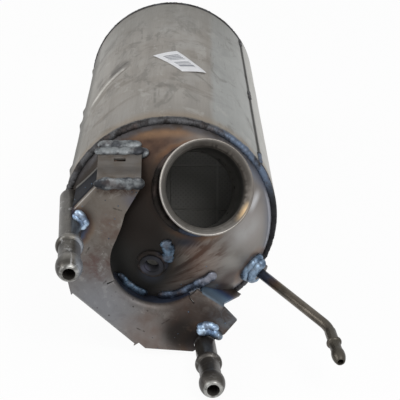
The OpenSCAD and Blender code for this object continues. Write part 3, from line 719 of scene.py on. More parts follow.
def boss_finish():
    """Machined bosses on the dish: dark and scorched, with a turned face; the sensor boss painted darker as
    shade, with a faint painted lavender glint.
    """
    f = Finish("boss_steel", 0.72)
    grain = f.noise(420, 4)
    cloud = f.noise(90, 4)
    f.paint = f.blend(cloud.rise(0.3, 0.7), (46, 42, 40), (76, 72, 72))
    f.lay(grain.rise(0.55, 0.75) * 0.4, 96, 92, 88)
    # Painted shade: the sensor boss, at the left, is darker
    f.lay(f.across.rise(20, 4) * 0.85, f.blend(cloud.rise(0.3, 0.7), (30, 31, 34), (40, 42, 49)))
    # A faint painted lavender glint at the sensor boss's left
    f.spot((-17, -18, 44), 5, 1, 0.45, 84, 84, 100)
    return f.done(0.34 + grain * 0.2, grain * 0.5 + cloud, 0.0002, 0.3)


def weld_finish(name, dark, light, gloss, tinted=None, shaded_side=False):
    """Weld metal: blued crests with brown silica flecks, and a patch of another tint where one is given."""
    f = Finish(name, 0.75)
    cloud = f.noise(120, 4, 0.55)
    f.paint = f.blend(cloud.rise(0.38, 0.62), dark, light)
    if tinted:
        point, reach, levels = tinted
        f.lay(f.near(point, reach, reach * 0.4) * cloud.rise(0.32, 0.6), *levels)
    f.lay(f.noise(90, 3).rise(0.52, 0.68) * 0.45, 92, 80, 76)
    f.lay(f.cells(330).rise(0.2, 0.06) * 0.3, 52, 50, 52)
    # Painted shadow on the right side of the rim weld
    if shaded_side:
        f.lay(f.across.rise(56, 70) * f.up.rise(34, 14) * 0.85, 30, 30, 33)
    return f.done(gloss + 0.06 + cloud * 0.2, f.noise(600, 4) * 0.5 + cloud, 0.0004, 0.35)


def ceramic_finish():
    """Wall-flow block: square cells, every other one plugged."""
    f = Finish("ceramic_block", 0.0)
    column = f.across / CELL_PITCH
    row = f.up / CELL_PITCH
    wall = (column.part() - 0.5).size().most((row.part() - 0.5).size()).rise(0.36, 0.42)
    plug = ((column.floor() + row.floor()) / 2).part().rise(0.2, 0.3)
    cloud = f.noise(60, 4)
    f.paint = f.blend(plug, (130, 129, 125), (140, 138, 134))
    f.lay(wall, 144, 142, 138)
    f.lay(cloud.rise(0.3, 0.7) * 0.5, 134, 132, 127)
    # Painted light: the cell floors below the face are paler, so that the cells show less shade
    f.lay(f.front.rise(BLOCK_FACE - 0.3, BLOCK_FACE - 0.6), 153, 151, 147)
    return f.done(0.75 + cloud * 0.2, wall.most(plug), 0.0006, 0.2)


def mat_finish():
    """Support mat: pale mineral fibre, scorched in places."""
    f = Finish("mineral_mat", 0.0)
    fibre = f.noise(900, 5, 0.7, twist=1.5)
    f.paint = f.blend(fibre.rise(0.3, 0.7), (150, 142, 128), (206, 200, 188))
    f.lay(f.noise(60, 4).rise(0.45, 0.7) * 0.5, 120, 104, 84)
    return f.done(0.85 + fibre * 0.1, fibre, 0.0012, 0.7)


def label_finish():
    """Blank paper label with plain grey fields, a row of bars and scuffs."""
    f = Finish("label_paper", 0.0)
    u, v = f.split(f.node("ShaderNodeTexCoord", out="UV"))[:2]
    scuff = f.noise(260, 4)
    f.ground(scuff.rise(0.35, 0.7), colours().paper, 1.0, 1.1)
    column = u.rise(0.2, 0.22) * u.rise(0.84, 0.82)
    rows = ((v * 13).part() - 0.5).size().rise(0.4, 0.34)
    broken = f.noise(24, 1, 0.5, f.vector(u * 1.2, v * 13, 0.0)).rise(0.36, 0.4)
    field = rows * broken * v.rise(0.56, 0.58) * v.rise(0.84, 0.82)
    stripes = f.noise(46, 0, 0.5, f.vector(v, 0.0, 0.0)).rise(0.46, 0.5)
    bars = stripes * v.rise(0.2, 0.22) * v.rise(0.48, 0.46)
    f.lay(column * field.most(bars) * 0.8, 96, 100, 110)
    edge = (u - 0.5).size().most((v - 0.5).size()) + (scuff - 0.5) * 0.03
    f.lay(edge.rise(0.485, 0.5) * 0.5, 176, 170, 160)
    return f.done(0.5 + scuff * 0.2, scuff, 0.0001, 0.3)


MAKERS = {
    "shell": shell_finish, "dish": dish_finish, "mouth": mouth_finish, "inlet": inlet_finish,
    "bracket": bracket_finish, "strap": strap_finish, "pin": pin_finish, "pipe": pipe_finish,
    "boss": boss_finish, "ceramic": ceramic_finish, "mat": mat_finish, "label": label_finish,
}
# Material, dark and light levels, gloss, a tinted patch by its point, reach and levels, painted shadow on
# the right
WELDS = {
    "rim_weld": ("rim_weld_metal", (50, 48, 48), (86, 86, 88), 0.36,
                 ((60, 46, 0), 44, (100, 114, 134)), True),
    # The foot welds are painted dark as shade, with a blue patch below the outlet
    "foot_weld": ("foot_weld_metal", (29, 27, 26), (46, 41, 38), 0.4,
                  ((14, -4, 42), 26, (66, 76, 96))),
    "lip_weld": ("lip_weld_metal", (54, 60, 72), (102, 117, 138), 0.3,
                 ((29, -29, 36), 13, (132, 134, 144))),
    "dark_weld": ("blued_weld", (50, 60, 73), (100, 123, 145), 0.3),
    "strap_weld": ("strap_weld_metal", (60, 62, 66), (134, 138, 140), 0.35),
    "seat_weld": ("seat_weld_metal", (76, 94, 115), (142, 164, 186), 0.28),
    "bright_weld": ("bright_weld", (112, 138, 170), (196, 218, 240), 0.28,
                    ((34, -72, 47), 8, (88, 93, 98))),
}


@cache
def finish(name):
    """Each finish is made once and shared."""
    return weld_finish(*WELDS[name]) if name in WELDS else MAKERS[name]()


def link_piece(name, mesh, material):
    """A mesh as an object at the origin, with one material."""
    piece = bpy.data.objects.new(name, mesh)
    bpy.context.scene.collection.objects.link(piece)
    mesh.materials.clear()
    mesh.materials.append(material)
    return piece


def settle(piece, slot, *nodes):
    """The piece rides on the one body and stands for its solids."""
    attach(piece, "root")
    if nodes:
        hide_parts(*nodes)


def bake_modifiers(piece):
    """Turns the evaluated piece into a plain mesh."""
    graph = bpy.context.evaluated_depsgraph_get()
    mesh = bpy.data.meshes.new_from_object(piece.evaluated_get(graph), depsgraph=graph)
    piece.modifiers.clear()
    old = piece.data
    piece.data = mesh
    mesh.name = piece.name
    bpy.data.meshes.remove(old)


def mark_smooth(bm, limit):
    """Smooth faces, with every edge sharp that turns by more than the limit."""
    for face in bm.faces:
        face.smooth = True
    for edge in bm.edges:
        edge.smooth = len(edge.link_faces) == 2 and edge.calc_face_angle(0.0) < math.radians(limit)


def keep_mesh(bm, mesh):
    """Puts an edited mesh into a plain one."""
    bm.to_mesh(mesh)
    bm.free()
    return mesh


def dress(node, name, slot, material, edge=0.0):
    """A merged, smoothly shaded copy of a solid, with its sharp edges broken, takes the solid's place."""
    bm = bmesh.new()
    bm.from_mesh(NODES[node].data)
    bmesh.ops.remove_doubles(bm, verts=bm.verts, dist=MERGE_GAP)
    bmesh.ops.dissolve_degenerate(bm, edges=bm.edges, dist=THIN_EDGE)
    if edge:
        bmesh.ops.dissolve_limit(bm, angle_limit=math.radians(FLAT_TURN), verts=bm.verts, edges=bm.edges)
    mark_smooth(bm, SHARP_TURN)
    piece = link_piece(name, keep_mesh(bm, bpy.data.meshes.new(name)), finish(material))
    if edge:
        bevel = piece.modifiers.new("edge_break", "BEVEL")
        bevel.width = edge
        bevel.segments = 2
        bevel.limit_method = "ANGLE"
        bevel.angle_limit = math.radians(BREAK_TURN)
        bevel.use_clamp_overlap = True
        bake_modifiers(piece)
        bm = bmesh.new()
        bm.from_mesh(piece.data)
        mark_smooth(bm, BROKEN_SHARP_TURN)
        keep_mesh(bm, piece.data)
    settle(piece, slot, node)


def shell_lift(angle, z, crease_depth, tack_height):
    """How far the rolled sheet stands out from its round, in millimetres."""
    wave, wave_length, dimple, dimple_length = 0.16, 38, 0.05, 11
    ridge_share, ridge_half, dent_place, dent_half, reach = 0.75, 1.7, 4.6, 3.4, 80
    tack_width, tack_length = 2.6, 4.4
    spin = math.radians(angle)
    out = Vector((math.cos(spin), math.sin(spin), 0))
    point = out * SHELL_R + Vector((0, 0, z))
    lift = wave * noise.noise(point / wave_length) + dimple * noise.noise(point / dimple_length)
    start, end = CREASE
    run = end - start
    share = (point - start).dot(run) / run.length_squared
    window = smooth(share, -0.12, 0.1) * (1 - smooth(share, 0.92, 1.12))
    if window > 0 and (point - start).length < reach:
        side = (point - start).dot(run.cross(out).normalized())
        ridge = ridge_share * math.exp(-((side / ridge_half) ** 2))
        dent = math.exp(-(((side - dent_place) / dent_half) ** 2))
        lift += (ridge - dent) * crease_depth * window
    for tack_z in SIDE_TACKS:
        round_gap = (angle - SIDE_TACK_TURN) * SHELL_R * math.pi / 180
        gap = math.hypot(round_gap / tack_width, (z - tack_z) / tack_length)
        lift += tack_height * math.exp(-gap * gap)
    return lift


def lap_rise(below):
    """How far the outer layer of the lap stands out, by the degrees below the seam."""
    if below >= LAP_TURN:
        return 0.0
    spin = math.radians(below)
    outer = LAP_STEP * math.cos(spin) + math.sqrt(SHELL_R ** 2 - (LAP_STEP * math.sin(spin)) ** 2)
    return (outer - SHELL_R) * (1 - smooth(below, LAP_TURN * 0.55, LAP_TURN))


def rolled_shell_mesh(crease_depth, tack_height):
    """The shell as one rolled sheet: it starts at the seam, goes once round and laps over its start."""
    columns, rows, plain_rows, seam_gap = 320, 140, 4, 0.02
    bm = bmesh.new()
    outer = []
    inner = []
    for column in range(columns + 1):
        turn = 360 * column / columns
        angle = (SEAM + turn + 180) % 360 - 180
        spin = math.radians(angle)
        lap = lap_rise(360 - turn)
        line = []
        for row in range(rows + 1):
            z = -SHELL_L * row / rows
            lift = shell_lift(angle % 360, z, crease_depth, tack_height)
            radius = SHELL_R + lap + lift * smooth(min(row, rows - row), 0, plain_rows)
            line.append(bm.verts.new(at(radius * math.cos(spin), radius * math.sin(spin), z)))
        outer.append(line)
        bore = SHELL_BORE + (seam_gap if column == columns else 0.0)
        ends = [at(bore * math.cos(spin), bore * math.sin(spin), z) for z in (0.0, -SHELL_L)]
        inner.append([bm.verts.new(end) for end in ends])
    for column in range(columns + 1):
        follow = (column + 1) % (columns + 1)
        out, out_next, bore, bore_next = outer[column], outer[follow], inner[column], inner[follow]
        for row in range(rows):
            bm.faces.new((out[row], out[row + 1], out_next[row + 1], out_next[row]))
        bm.faces.new((bore[0], bore_next[0], bore_next[1], bore[1]))
        bm.faces.new((out[0], out_next[0], bore_next[0], bore[0]))
        bm.faces.new((out[rows], bore[1], bore_next[1], out_next[rows]))
    bmesh.ops.recalc_face_normals(bm, faces=bm.faces)
    mark_smooth(bm, SHELL_SHARP_TURN)
    return keep_mesh(bm, bpy.data.meshes.new("rolled_shell"))


def label_mesh(lift):
    """A paper sheet that follows the shell, with one loose corner."""
    width, length, slant, turn, middle, gap = 22.0, 53.0, 27.0, 5.7, -140.5, 0.26
    across, down = 16, 36
    lean = math.radians(slant)
    spin = Matrix.Rotation(math.radians(-turn), 3, "Z")
    bm = bmesh.new()
    layer = bm.loops.layers.uv.new("sheet")
    grid = []
    for i in range(across + 1):
        line = []
        for j in range(down + 1):
            u, v = i / across, j / down
            a, b = (u - 0.5) * width, (v - 0.5) * length
            x = a * math.cos(lean) - b * math.sin(lean)
            z = middle - (a * math.sin(lean) + b * math.cos(lean))
            loose = smooth(u * 0.6 + (1 - v) * 1.0, 1.1, 1.6)
            radius = SHELL_R + gap + loose * lift + 0.05 * noise.noise(Vector((a, b, 0)) / 5)
            point = spin @ Vector((x, math.sqrt(radius ** 2 - x * x), z))
            line.append((bm.verts.new(at(*point)), (u, v)))
        grid.append(line)
    for i in range(across):
        for j in range(down):
            corners = [grid[i][j], grid[i][j + 1], grid[i + 1][j + 1], grid[i + 1][j]]
            face = bm.faces.new([corner[0] for corner in corners])
            face.smooth = True
            for loop, corner in zip(face.loops, corners):
                loop[layer].uv = corner[1]
    bm.normal_update()
    bm.faces.ensure_lookup_table()
    if bm.faces[0].normal.z < 0:
        bmesh.ops.reverse_faces(bm, faces=bm.faces)
    return keep_mesh(bm, bpy.data.meshes.new("label_sheet"))


def thread_mesh():
    """The thread of the sensor boss: one ridge that winds down the hole."""
    pitch, turns, steps, start, half, depth = 1.5, 5, 36, 5.2, 0.62, 0.75
    section = ((BOSS_HOLE_R, -half), (BOSS_HOLE_R - depth, 0.0), (BOSS_HOLE_R, half))
    axis = ray(*BOSS_RAY)
    side = axis.orthogonal().normalized()
    other = axis.cross(side)
    bm = bmesh.new()
    rings = []
    for step in range(turns * steps + 1):
        spin = 2 * math.pi * step / steps
        out = side * math.cos(spin) + other * math.sin(spin)
        reach = DISH_R - start + pitch * step / steps
        points = [DISH_CENTRE + out * r + axis * (reach + h) for r, h in section]
        rings.append([bm.verts.new(at(*point)) for point in points])
    for first, second in zip(rings, rings[1:]):
        for k in range(3):
            bm.faces.new((first[k], first[(k + 1) % 3], second[(k + 1) % 3], second[k]))
    bm.faces.new(rings[0])
    bm.faces.new(rings[-1])
    bmesh.ops.recalc_face_normals(bm, faces=bm.faces)
    return keep_mesh(bm, bpy.data.meshes.new("boss_thread"))


class DropTree(Nodes):
    """A geometry tree that sets drops of weld metal on points."""

    def __init__(self, name, **inputs):
        super().__init__(bpy.data.node_groups.new(name, "GeometryNodeTree"))
        add = self.tree.interface.new_socket
        for label, kind in {**inputs, "Seed": "Int", "Finish": "Material"}.items():
            add(label, in_out="INPUT", socket_type="NodeSocket" + kind)
        add("Geometry", in_out="OUTPUT", socket_type="NodeSocketGeometry")
        source = self.node("NodeGroupInput").socket.node
        self.given = {output.name: Flow(self, output) for output in source.outputs}

    def set_drops(self, points, scale, detail, turn=None):
        """The end of the tree: a drop on each point, real, smooth and with its finish."""
        drop = self.node("GeometryNodeMeshIcoSphere", {}, {"Radius": 1.0, "Subdivisions": detail}, "Mesh")
        sockets = {"Points": points, "Instance": drop, "Scale": scale}
        if turn:
            sockets["Rotation"] = turn
        drops = self.node("GeometryNodeInstanceOnPoints", {}, sockets, "Instances")
        drops = self.node("GeometryNodeRealizeInstances", {}, {"Geometry": drops})
        drops = self.node("GeometryNodeSetShadeSmooth", {}, {"Geometry": drops})
        sockets = {"Geometry": drops, "Material": self.given["Finish"]}
        self.node("NodeGroupOutput", {}, {"Geometry": self.node("GeometryNodeSetMaterial", {}, sockets)})
        return self.tree


@cache
def weld_tree():
    """Ripples along a path: flat drops that lie across it, each a little different."""
    t = DropTree("weld_ripples", Path="Geometry", Pitch="Float", Width="Float", Height="Float",
                 Unevenness="Float")
    given = t.given
    curve = t.node("GeometryNodeMeshToCurve", {}, {"Mesh": given["Path"]})
    sockets = {"Curve": curve, "Length": given["Pitch"]}
    points = t.node("GeometryNodeResampleCurve", {"mode": "LENGTH"}, sockets)
    lift = t.node("GeometryNodeInputNamedAttribute", {"data_type": "FLOAT_VECTOR"}, {"Name": "lift"})
    sockets = {"Vector": t.node("GeometryNodeInputTangent")}
    run = t.node("FunctionNodeAlignRotationToVector", {"axis": "X"}, sockets)
    sockets = {"Rotation": run, "Vector": lift}
    stand = t.node("FunctionNodeAlignRotationToVector", {"axis": "Z", "pivot_axis": "X"}, sockets)
    sockets = {"Min": 1.0 - given["Unevenness"], "Max": 1.0 + given["Unevenness"], "Seed": given["Seed"]}
    uneven = t.node("FunctionNodeRandomValue", {"data_type": "FLOAT_VECTOR"}, sockets)
    sockets = (given["Pitch"] * RIPPLE_OVERLAP, given["Width"] * 0.5, given["Height"])
    shape = t.node("ShaderNodeCombineXYZ", {}, sockets)
    return t.set_drops(points, t.vectors("MULTIPLY", shape, uneven), 3, stand)


@cache
def spatter_tree():
    """Small drops scattered on a surface, thickest beside a weld."""
    t = DropTree("weld_spatter", Surface="Geometry", Centre="Vector", Reach="Float", Density="Float",
                 Drop="Float")
    given = t.given
    gap = t.vectors("DISTANCE", t.node("GeometryNodeInputPosition"), given["Centre"], out="Value")
    sockets = {"Value": gap, "From Min": 0.0, "From Max": given["Reach"], "To Min": 1.0, "To Max": 0.0}
    fade = t.node("ShaderNodeMapRange", {}, sockets)
    sockets = {"Mesh": given["Surface"], "Density": fade * given["Density"], "Seed": given["Seed"]}
    points = t.node("GeometryNodeDistributePointsOnFaces", {}, sockets)
    # The sockets of the random number are the third and fourth inputs and the second output
    sockets = {2: DROP_SPREAD[0], 3: DROP_SPREAD[1], "Seed": given["Seed"]}
    vary = t.node("FunctionNodeRandomValue", {"data_type": "FLOAT"}, sockets, 1)
    return t.set_drops(points, vary * given["Drop"], 2)


def weld_piece(name, mesh, material, tree, values, *nodes):
    """Runs a tree on a path or a surface, keeps the result as a mesh and lets it stand for its solids."""
    piece = link_piece(name, mesh, finish(material))
    modifier = piece.modifiers.new(tree.name, "NODES")
    modifier.node_group = tree
    values["Finish"] = finish(material)
    for socket in tree.interface.items_tree:
        if socket.in_out == "INPUT" and socket.name in values:
            modifier[socket.identifier] = values[socket.name]
    bake_modifiers(piece)
    settle(piece, "weld_metal", *nodes)


def path_mesh(name, runs):
    """Paths for beads: each run is a list of points with the way the bead stands, open or closed."""
    verts, edges, lifts = [], [], []
    for points, closed in runs:
        first = len(verts)
        verts += [at(*point) for point, lift in points]
        lifts += [facing(*lift) for point, lift in points]
        edges += [(first + i, first + i + 1) for i in range(len(points) - 1)]
        if closed:
            edges.append((len(verts) - 1, first))
    mesh = bpy.data.meshes.new(name)
    mesh.from_pydata(verts, edges, [])
    layer = mesh.attributes.new("lift", "FLOAT_VECTOR", "POINT")
    for item, lift in zip(layer.data, lifts):
        item.vector = lift
    return mesh


def bead(name, node, material, seed, width, height, uneven, pitch, *runs):
    """One weld, sized in millimetres, with its pitch in metres, or 0 for the common one. Its ripples
    replace the plain bead of a solid, or lie on another weld where no solid is named."""
    values = {"Pitch": pitch or sizes().ripple_pitch, "Width": width / 1000, "Height": height / 1000,
              "Unevenness": uneven, "Seed": seed}
    weld_piece(name, path_mesh(name, runs), material, weld_tree(), values, *([node] if node else []))


def ring_run(centre, axis, radius, lift_out, count, start=0.0, end=360.0):
    """A ring, or part of one, about an axis. The bead stands between the axis and the way out."""
    axis = Vector(axis).normalized()
    side = AXIS.cross(axis)
    side = side.normalized() if side.length > 0.01 else Vector((1, 0, 0))
    other = axis.cross(side)
    closed = end - start >= 360
    points = []
    for i in range(count):
        spin = math.radians(start + (end - start) * i / (count if closed else count - 1))
        out = side * math.cos(spin) + other * math.sin(spin)
        points.append((Vector(centre) + out * radius, out * lift_out + axis * (1 - lift_out)))
    return points, closed


def foot_run(direction, radius, rise, out, *ring):
    """A ring round a tube on the dish, by the tube's ray and radius and how far up and out it lies."""
    axis = ray(*direction)
    foot = math.sqrt(DISH_R ** 2 - radius ** 2)
    return ring_run(DISH_CENTRE + axis * (foot + rise), axis, radius + out, *ring)


def dish_run(places, lift):
    """A path on the dish through places of the face view."""
    return [(on_dish(x, y, lift), on_dish(x, y) - DISH_CENTRE) for x, y in places], False


def plate_run(places, lift):
    """A path on the bracket's face."""
    return [(on_plate(x, y, lift), AXIS) for x, y in places], False


def strap_run(left, right, y, z, lift):
    """A straight path across the strap."""
    steps = 12
    places = [STRAP_X + left + (right - left) * i / steps for i in range(steps + 1)]
    return [(Vector((x, y, z)), Vector(lift)) for x in places], False


def seam_run(z):
    """A short path along the seam, round a depth."""
    foot = SEAM_OUT * (SHELL_R + 0.4)
    return [(foot + Vector((0, 0, z - 7 + 2 * i)), SEAM_OUT) for i in range(8)], False


def arc(centre, radius, start, end, count):
    """Places of the face view on part of a circle."""
    spins = [math.radians(start + (end - start) * i / (count - 1)) for i in range(count)]
    return [(centre[0] + radius * math.cos(s), centre[1] + radius * math.sin(s)) for s in spins]


def aim(name, data, place, look):
    """A camera or lamp at its place, turned to look along a direction."""
    holder = bpy.data.objects.new(name, data)
    bpy.context.scene.collection.objects.link(holder)
    holder.location = place
    holder.rotation_euler = Vector(look).to_track_quat("-Z", "Y").to_euler()
    return holder


class MakeStage(bpy.types.Operator):
    """Camera, floor, white surroundings and soft light"""

    bl_idname = "particulate_filter.make_stage"
    bl_label = "Make the stage"

    def execute(self, context):
        scene = context.scene
        scene.view_settings.view_transform = "Standard"
        camera = bpy.data.cameras.new("view")
        camera.lens = sizes().lens
        camera.sensor_width = SENSOR_WIDTH
        scene.camera = aim("view", camera, CAMERA_PLACE, CAMERA_LOOK)
        self.add_floor()
        self.add_world(scene)
        for name, place, size, power in LAMPS:
            lamp = bpy.data.lights.new(name, "AREA")
            lamp.shape = "DISK"
            lamp.size = size
            lamp.energy = power
            aim(name, lamp, place, LAMP_TARGET - Vector(place))
        return {"FINISHED"}

    def show_white(self, nodes, lit, white, output, share, *kinds):
        """White for some kinds of ray, by a share, and the lit surface for all others."""
        rays = nodes.node("ShaderNodeLightPath").socket.node.outputs
        seen = Flow(nodes, rays["Is Camera Ray"])
        for kind in kinds:
            seen = seen.most(Flow(nodes, rays[kind]))
        mixed = nodes.node("ShaderNodeMixShader", {}, (seen * share, lit, white))
        nodes.node(output, {}, {"Surface": mixed})

    def add_floor(self):
        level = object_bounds()[0][2] - FLOOR_GAP
        mesh = bpy.data.meshes.new("floor")
        corners = [(x * FLOOR_HALF, y * FLOOR_HALF, level) for x, y in ((-1, -1), (1, -1), (1, 1), (-1, 1))]
        mesh.from_pydata(corners, [], [(0, 1, 2, 3)])
        material = bpy.data.materials.new("pale_floor")
        material.use_nodes = True
        nodes = Nodes(material.node_tree)
        matt = nodes.node("ShaderNodeBsdfDiffuse", {}, {"Color": FLOOR_GREY})
        white = nodes.node("ShaderNodeEmission", {}, {"Strength": 1.0})
        self.show_white(nodes, matt, white, "ShaderNodeOutputMaterial", FLOOR_WHITE, "Is Glossy Ray")
        floor = link_piece("floor", mesh, material)
        floor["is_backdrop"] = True

    def add_world(self, scene):
        world = bpy.data.worlds.new("white_room")
        scene.world = world
        world.use_nodes = True
        nodes = Nodes(world.node_tree)
        light = nodes.node("ShaderNodeBackground", {}, {"Color": ROOM_COLOUR, "Strength": ROOM_LIGHT})
        white = nodes.node("ShaderNodeBackground", {}, {"Strength": 1.0})
        self.show_white(nodes, light, white, "ShaderNodeOutputWorld", 1.0,
                        "Is Glossy Ray", "Is Transmission Ray")


class MakeShell(bpy.types.Operator):
    """Rolled shell with its lap, knock and tacks, and the paper label on it"""

    bl_idname = "particulate_filter.make_shell"
    bl_label = "Make the shell"

    def execute(self, context):
        mesh = rolled_shell_mesh(sizes().crease_depth * 1000, sizes().tack_height * 1000)
        settle(link_piece("rolled_shell", mesh, finish("shell")), "shell_steel", "canister_shell")
        sheet = link_piece("paper_label", label_mesh(sizes().label_lift * 1000), finish("label"))
        wall = sheet.modifiers.new("paper", "SOLIDIFY")
        wall.thickness = PAPER_THICKNESS
        wall.offset = 1.0
        bake_modifiers(sheet)
        settle(sheet, "label", "label")
        return {"FINISHED"}


class MakeDish(bpy.types.Operator):
    """Outlet dish and the flared outlet pipe"""

    bl_idname = "particulate_filter.make_dish"
    bl_label = "Make the dish"

    def execute(self, context):
        dress("outlet_cap", "spun_dish", "cap_steel", "dish")
        dress("outlet_pipe", "flared_outlet", "pipe_steel", "mouth", MOUTH_EDGE)
        return {"FINISHED"}


class MakeInlet(bpy.types.Operator):
    """Inlet cone and inlet pipe at the far end"""

    bl_idname = "particulate_filter.make_inlet"
    bl_label = "Make the inlet"

    def execute(self, context):
        dress("inlet_cone", "drawn_cone", "cap_steel", "inlet")
        dress("inlet_pipe", "inlet_tube", "pipe_steel", "inlet", TUBE_EDGE)
        return {"FINISHED"}


class MakeBracket(bpy.types.Operator):
    """Pressed hanger bracket and its strap"""

    bl_idname = "particulate_filter.make_bracket"
    bl_label = "Make the bracket"

    def execute(self, context):
        dress("hanger_bracket", "pressed_bracket", "bracket_steel", "bracket", sizes().edge_break)
        dress("bracket_strap", "bent_strap", "bracket_steel", "strap", sizes().edge_break)
        return {"FINISHED"}


class MakeHangers(bpy.types.Operator):
    """Two hanger pins with collars and bulbs"""

    bl_idname = "particulate_filter.make_hangers"
    bl_label = "Make the hangers"

    def execute(self, context):
        dress("left_hanger", "left_pin", "pin_steel", "pin", PIN_EDGE)
        dress("lower_hanger", "lower_pin", "pin_steel", "pin", PIN_EDGE)
        return {"FINISHED"}


class MakeFittings(bpy.types.Operator):
    """Sensor boss with its thread, pressure boss and pressure pipe"""

    bl_idname = "particulate_filter.make_fittings"
    bl_label = "Make the fittings"

    def execute(self, context):
        dress("sensor_boss", "sensor_seat", "pin_steel", "boss", PIN_EDGE)
        settle(link_piece("boss_thread", thread_mesh(), finish("boss")), "pin_steel")
        dress("pressure_boss", "pressure_seat", "pin_steel", "boss", PIN_EDGE)
        dress("pressure_pipe", "bent_pipe", "pin_steel", "pipe", TUBE_EDGE)
        return {"FINISHED"}


class MakeWelds(bpy.types.Operator):
    """Rippled beads in place of the plain ones"""

    bl_idname = "particulate_filter.make_welds"
    bl_label = "Make the welds"

    def execute(self, context):
        self.rim_beads(sizes().rim_bead * 1000 * RIM_BEAD_SHARE)
        self.boss_beads()
        self.bracket_beads()
        self.pin_beads()
        bead("seam_ripples", "seam_weld", "rim_weld", 16, 4.0, 1.5, 0.14, 0, *map(seam_run, SEAM_TACKS))
        return {"FINISHED"}

    def rim_beads(self, width):
        bead("rim_ripples", "outlet_rim_weld", "rim_weld", 3, width, 2.5, 0.11, 0.0017,
             ring_run((0, 0, 0.6), AXIS, RIM_BEAD_R, 0.55, 360))
        bead("inlet_rim_ripples", "inlet_rim_weld", "rim_weld", 4, width, 2.7, 0.07, 0.0017,
             ring_run((0, 0, -SHELL_L - 0.6), -AXIS, RIM_BEAD_R, 0.55, 360))
        bead("inlet_pipe_ripples", "inlet_pipe_weld", "rim_weld", 5, 4.6, 2.2, 0.08, 0,
             ring_run((0, 0, 1 - CONE_END), AXIS, INLET_BEAD_R, 0.6, 160))
        bead("outlet_foot_ripples", "outlet_pipe_weld", "foot_weld", 6, 5.4, 2.6, 0.12, 0,
             foot_run(OUTLET_RAY, OUTLET_R, 0.6, 0.7, 0.5, 160))

    def boss_beads(self):
        bead("sensor_seat_ripples", "sensor_boss_weld", "foot_weld", 7, 4.2, 2.0, 0.15, 0,
             foot_run(BOSS_RAY, BOSS_R, 0.3, 0.6, 0.5, 60))
        deposit = ((-2.2, 1.5), (-0.8, -1.5), (-0.2, -4.5), (-0.4, -7.5), (-1.6, -10.5))
        bead("sensor_seat_deposit", None, "dark_weld", 8, 7.8, 2.8, 0.2, 0.0018, dish_run(deposit, 0.3))
        bead("pressure_seat_ripples", "pressure_boss_weld", "seat_weld", 9, 7.6, 3.4, 0.12, 0.0028,
             foot_run(PIPE_BOSS_RAY, PIPE_BOSS_R, 1.2, 1.0, 0.45, 50, 20, 260),
             foot_run(PIPE_BOSS_RAY, PIPE_BOSS_R, 5.2, -0.2, 0.6, 40, 30, 200))

    def bracket_beads(self):
        left = arc(OPENING, LIP_BEAD_R, 213, 247, 12)
        bead("left_lip_ripples", "bracket_left_weld", "dark_weld", 10, 7.6, 2.6, 0.12, 0.0022,
             dish_run(left, 0.9))
        right = arc(OPENING, LIP_BEAD_R, 274, 294, 6)
        start = Vector((*right[-1], 0))
        end = Vector((*RIGHT_BEAD_END, 0))
        right += [tuple(start.lerp(end, i / 8))[:2] for i in range(1, 9)]
        bead("right_lip_ripples", "bracket_right_weld", "lip_weld", 11, 8.6, 2.6, 0.12, 0.0022,
             dish_run(right, 0.9))
        slope = (0, 0.9186, 0.3951)
        foot = [(STRAP_X + 15 - 2.4 * i, 58.6 - 0.3 * i) for i in range(6)]
        bead("strap_rear_ripples", "strap_rear_weld", "strap_weld", 12, 7.4, 2.4, 0.14, 0.003,
             strap_run(-10, 10, 62.6, 15.0, slope), strap_run(-12, 12, 60.0, 21.0, slope),
             dish_run(foot, 0.8))
        bead("strap_front_ripples", "strap_front_weld", "strap_weld", 13, 9.4, 2.7, 0.18, 0.003,
             strap_run(-11.5, 12.5, 46.4, 47.0, (0, -0.35, 0.94)))

    def pin_beads(self):
        bead("left_pin_ripples", "left_hanger_weld", "bright_weld", 14, 6.0, 3.2, 0.2, 0.0026,
             plate_run(arc(LEFT_HANGER, 8.6, 12, 54, 8), 1.0),
             plate_run(arc(LEFT_HANGER, 11.0, 18, 46, 8), 0.4))
        bead("lower_pin_ripples", "lower_hanger_weld", "bright_weld", 15, 6.6, 3.2, 0.2, 0.0026,
             plate_run(arc(LOWER_HANGER, 12.2, 42, 98, 9), 1.2),
             plate_run(arc(LOWER_HANGER, 15.4, 68, 98, 9), 0.4))


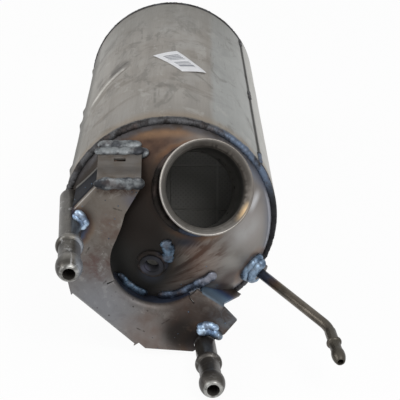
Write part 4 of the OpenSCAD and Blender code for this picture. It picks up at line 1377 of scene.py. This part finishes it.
class MakeSpatter(bpy.types.Operator):
    """Drops of weld metal beside the welds"""

    bl_idname = "particulate_filter.make_spatter"
    bl_label = "Make the spatter"

    def execute(self, context):
        spots = (
            ("hanger_bracket", on_plate(*LOWER_HANGER), 0.03, 26000.0),
            ("hanger_bracket", on_plate(*LEFT_HANGER), 0.024, 20000.0),
            ("hanger_bracket", on_plate(STRAP_X, 38), 0.024, 18000.0),
            ("outlet_cap", on_dish(16, -40), 0.03, 16000.0),
            ("outlet_cap", dish_point(PIPE_BOSS_RAY), 0.026, 16000.0),
        )
        for number, (node, centre, reach, density) in enumerate(spots):
            name = f"spatter_{number + 1}"
            mesh = NODES[node].data.copy()
            mesh.name = name
            values = {"Centre": at(*centre), "Reach": reach, "Density": density,
                      "Drop": sizes().spatter_size, "Seed": FIRST_SPATTER_SEED + number}
            weld_piece(name, mesh, "dark_weld", spatter_tree(), values)
        return {"FINISHED"}


class MakeFilling(bpy.types.Operator):
    """Ceramic block and its mat, which keep their solids"""

    bl_idname = "particulate_filter.make_filling"
    bl_label = "Make the filling"

    def execute(self, context):
        for node, name in (("filter_monolith", "ceramic"), ("support_mat", "mat")):
            NODES[node].data.materials.clear()
            NODES[node].data.materials.append(finish(name))
        return {"FINISHED"}


class FilterPanel(bpy.types.Panel):
    """Lists the steps that dress the filter"""

    bl_idname = "VIEW3D_PT_particulate_filter"
    bl_label = "Particulate filter"
    bl_space_type = "VIEW_3D"
    bl_region_type = "UI"
    bl_category = "Filter"

    def draw(self, context):
        for step in STEPS:
            self.layout.operator(step.bl_idname)
        for group in (context.scene.filter_sizes, context.scene.filter_colours):
            for name in group.__annotations__:
                self.layout.prop(group, name)


STEPS = (MakeStage, MakeShell, MakeDish, MakeInlet, MakeBracket, MakeHangers, MakeFittings, MakeWelds,
         MakeSpatter, MakeFilling)
CLASSES = (FilterSizes, FilterColours, *STEPS, FilterPanel)


def register():
    for cls in CLASSES:
        bpy.utils.register_class(cls)
    bpy.types.Scene.filter_sizes = bpy.props.PointerProperty(type=FilterSizes)
    bpy.types.Scene.filter_colours = bpy.props.PointerProperty(type=FilterColours)


def unregister():
    del bpy.types.Scene.filter_colours
    del bpy.types.Scene.filter_sizes
    for cls in reversed(CLASSES):
        bpy.utils.unregister_class(cls)


def main():
    register()
    bpy.ops.particulate_filter.make_stage()
    bpy.ops.particulate_filter.make_shell()
    bpy.ops.particulate_filter.make_dish()
    bpy.ops.particulate_filter.make_inlet()
    bpy.ops.particulate_filter.make_bracket()
    bpy.ops.particulate_filter.make_hangers()
    bpy.ops.particulate_filter.make_fittings()
    bpy.ops.particulate_filter.make_welds()
    bpy.ops.particulate_filter.make_spatter()
    bpy.ops.particulate_filter.make_filling()
    bpy.context.view_layer.update()


if __name__ == "__main__":
    main()
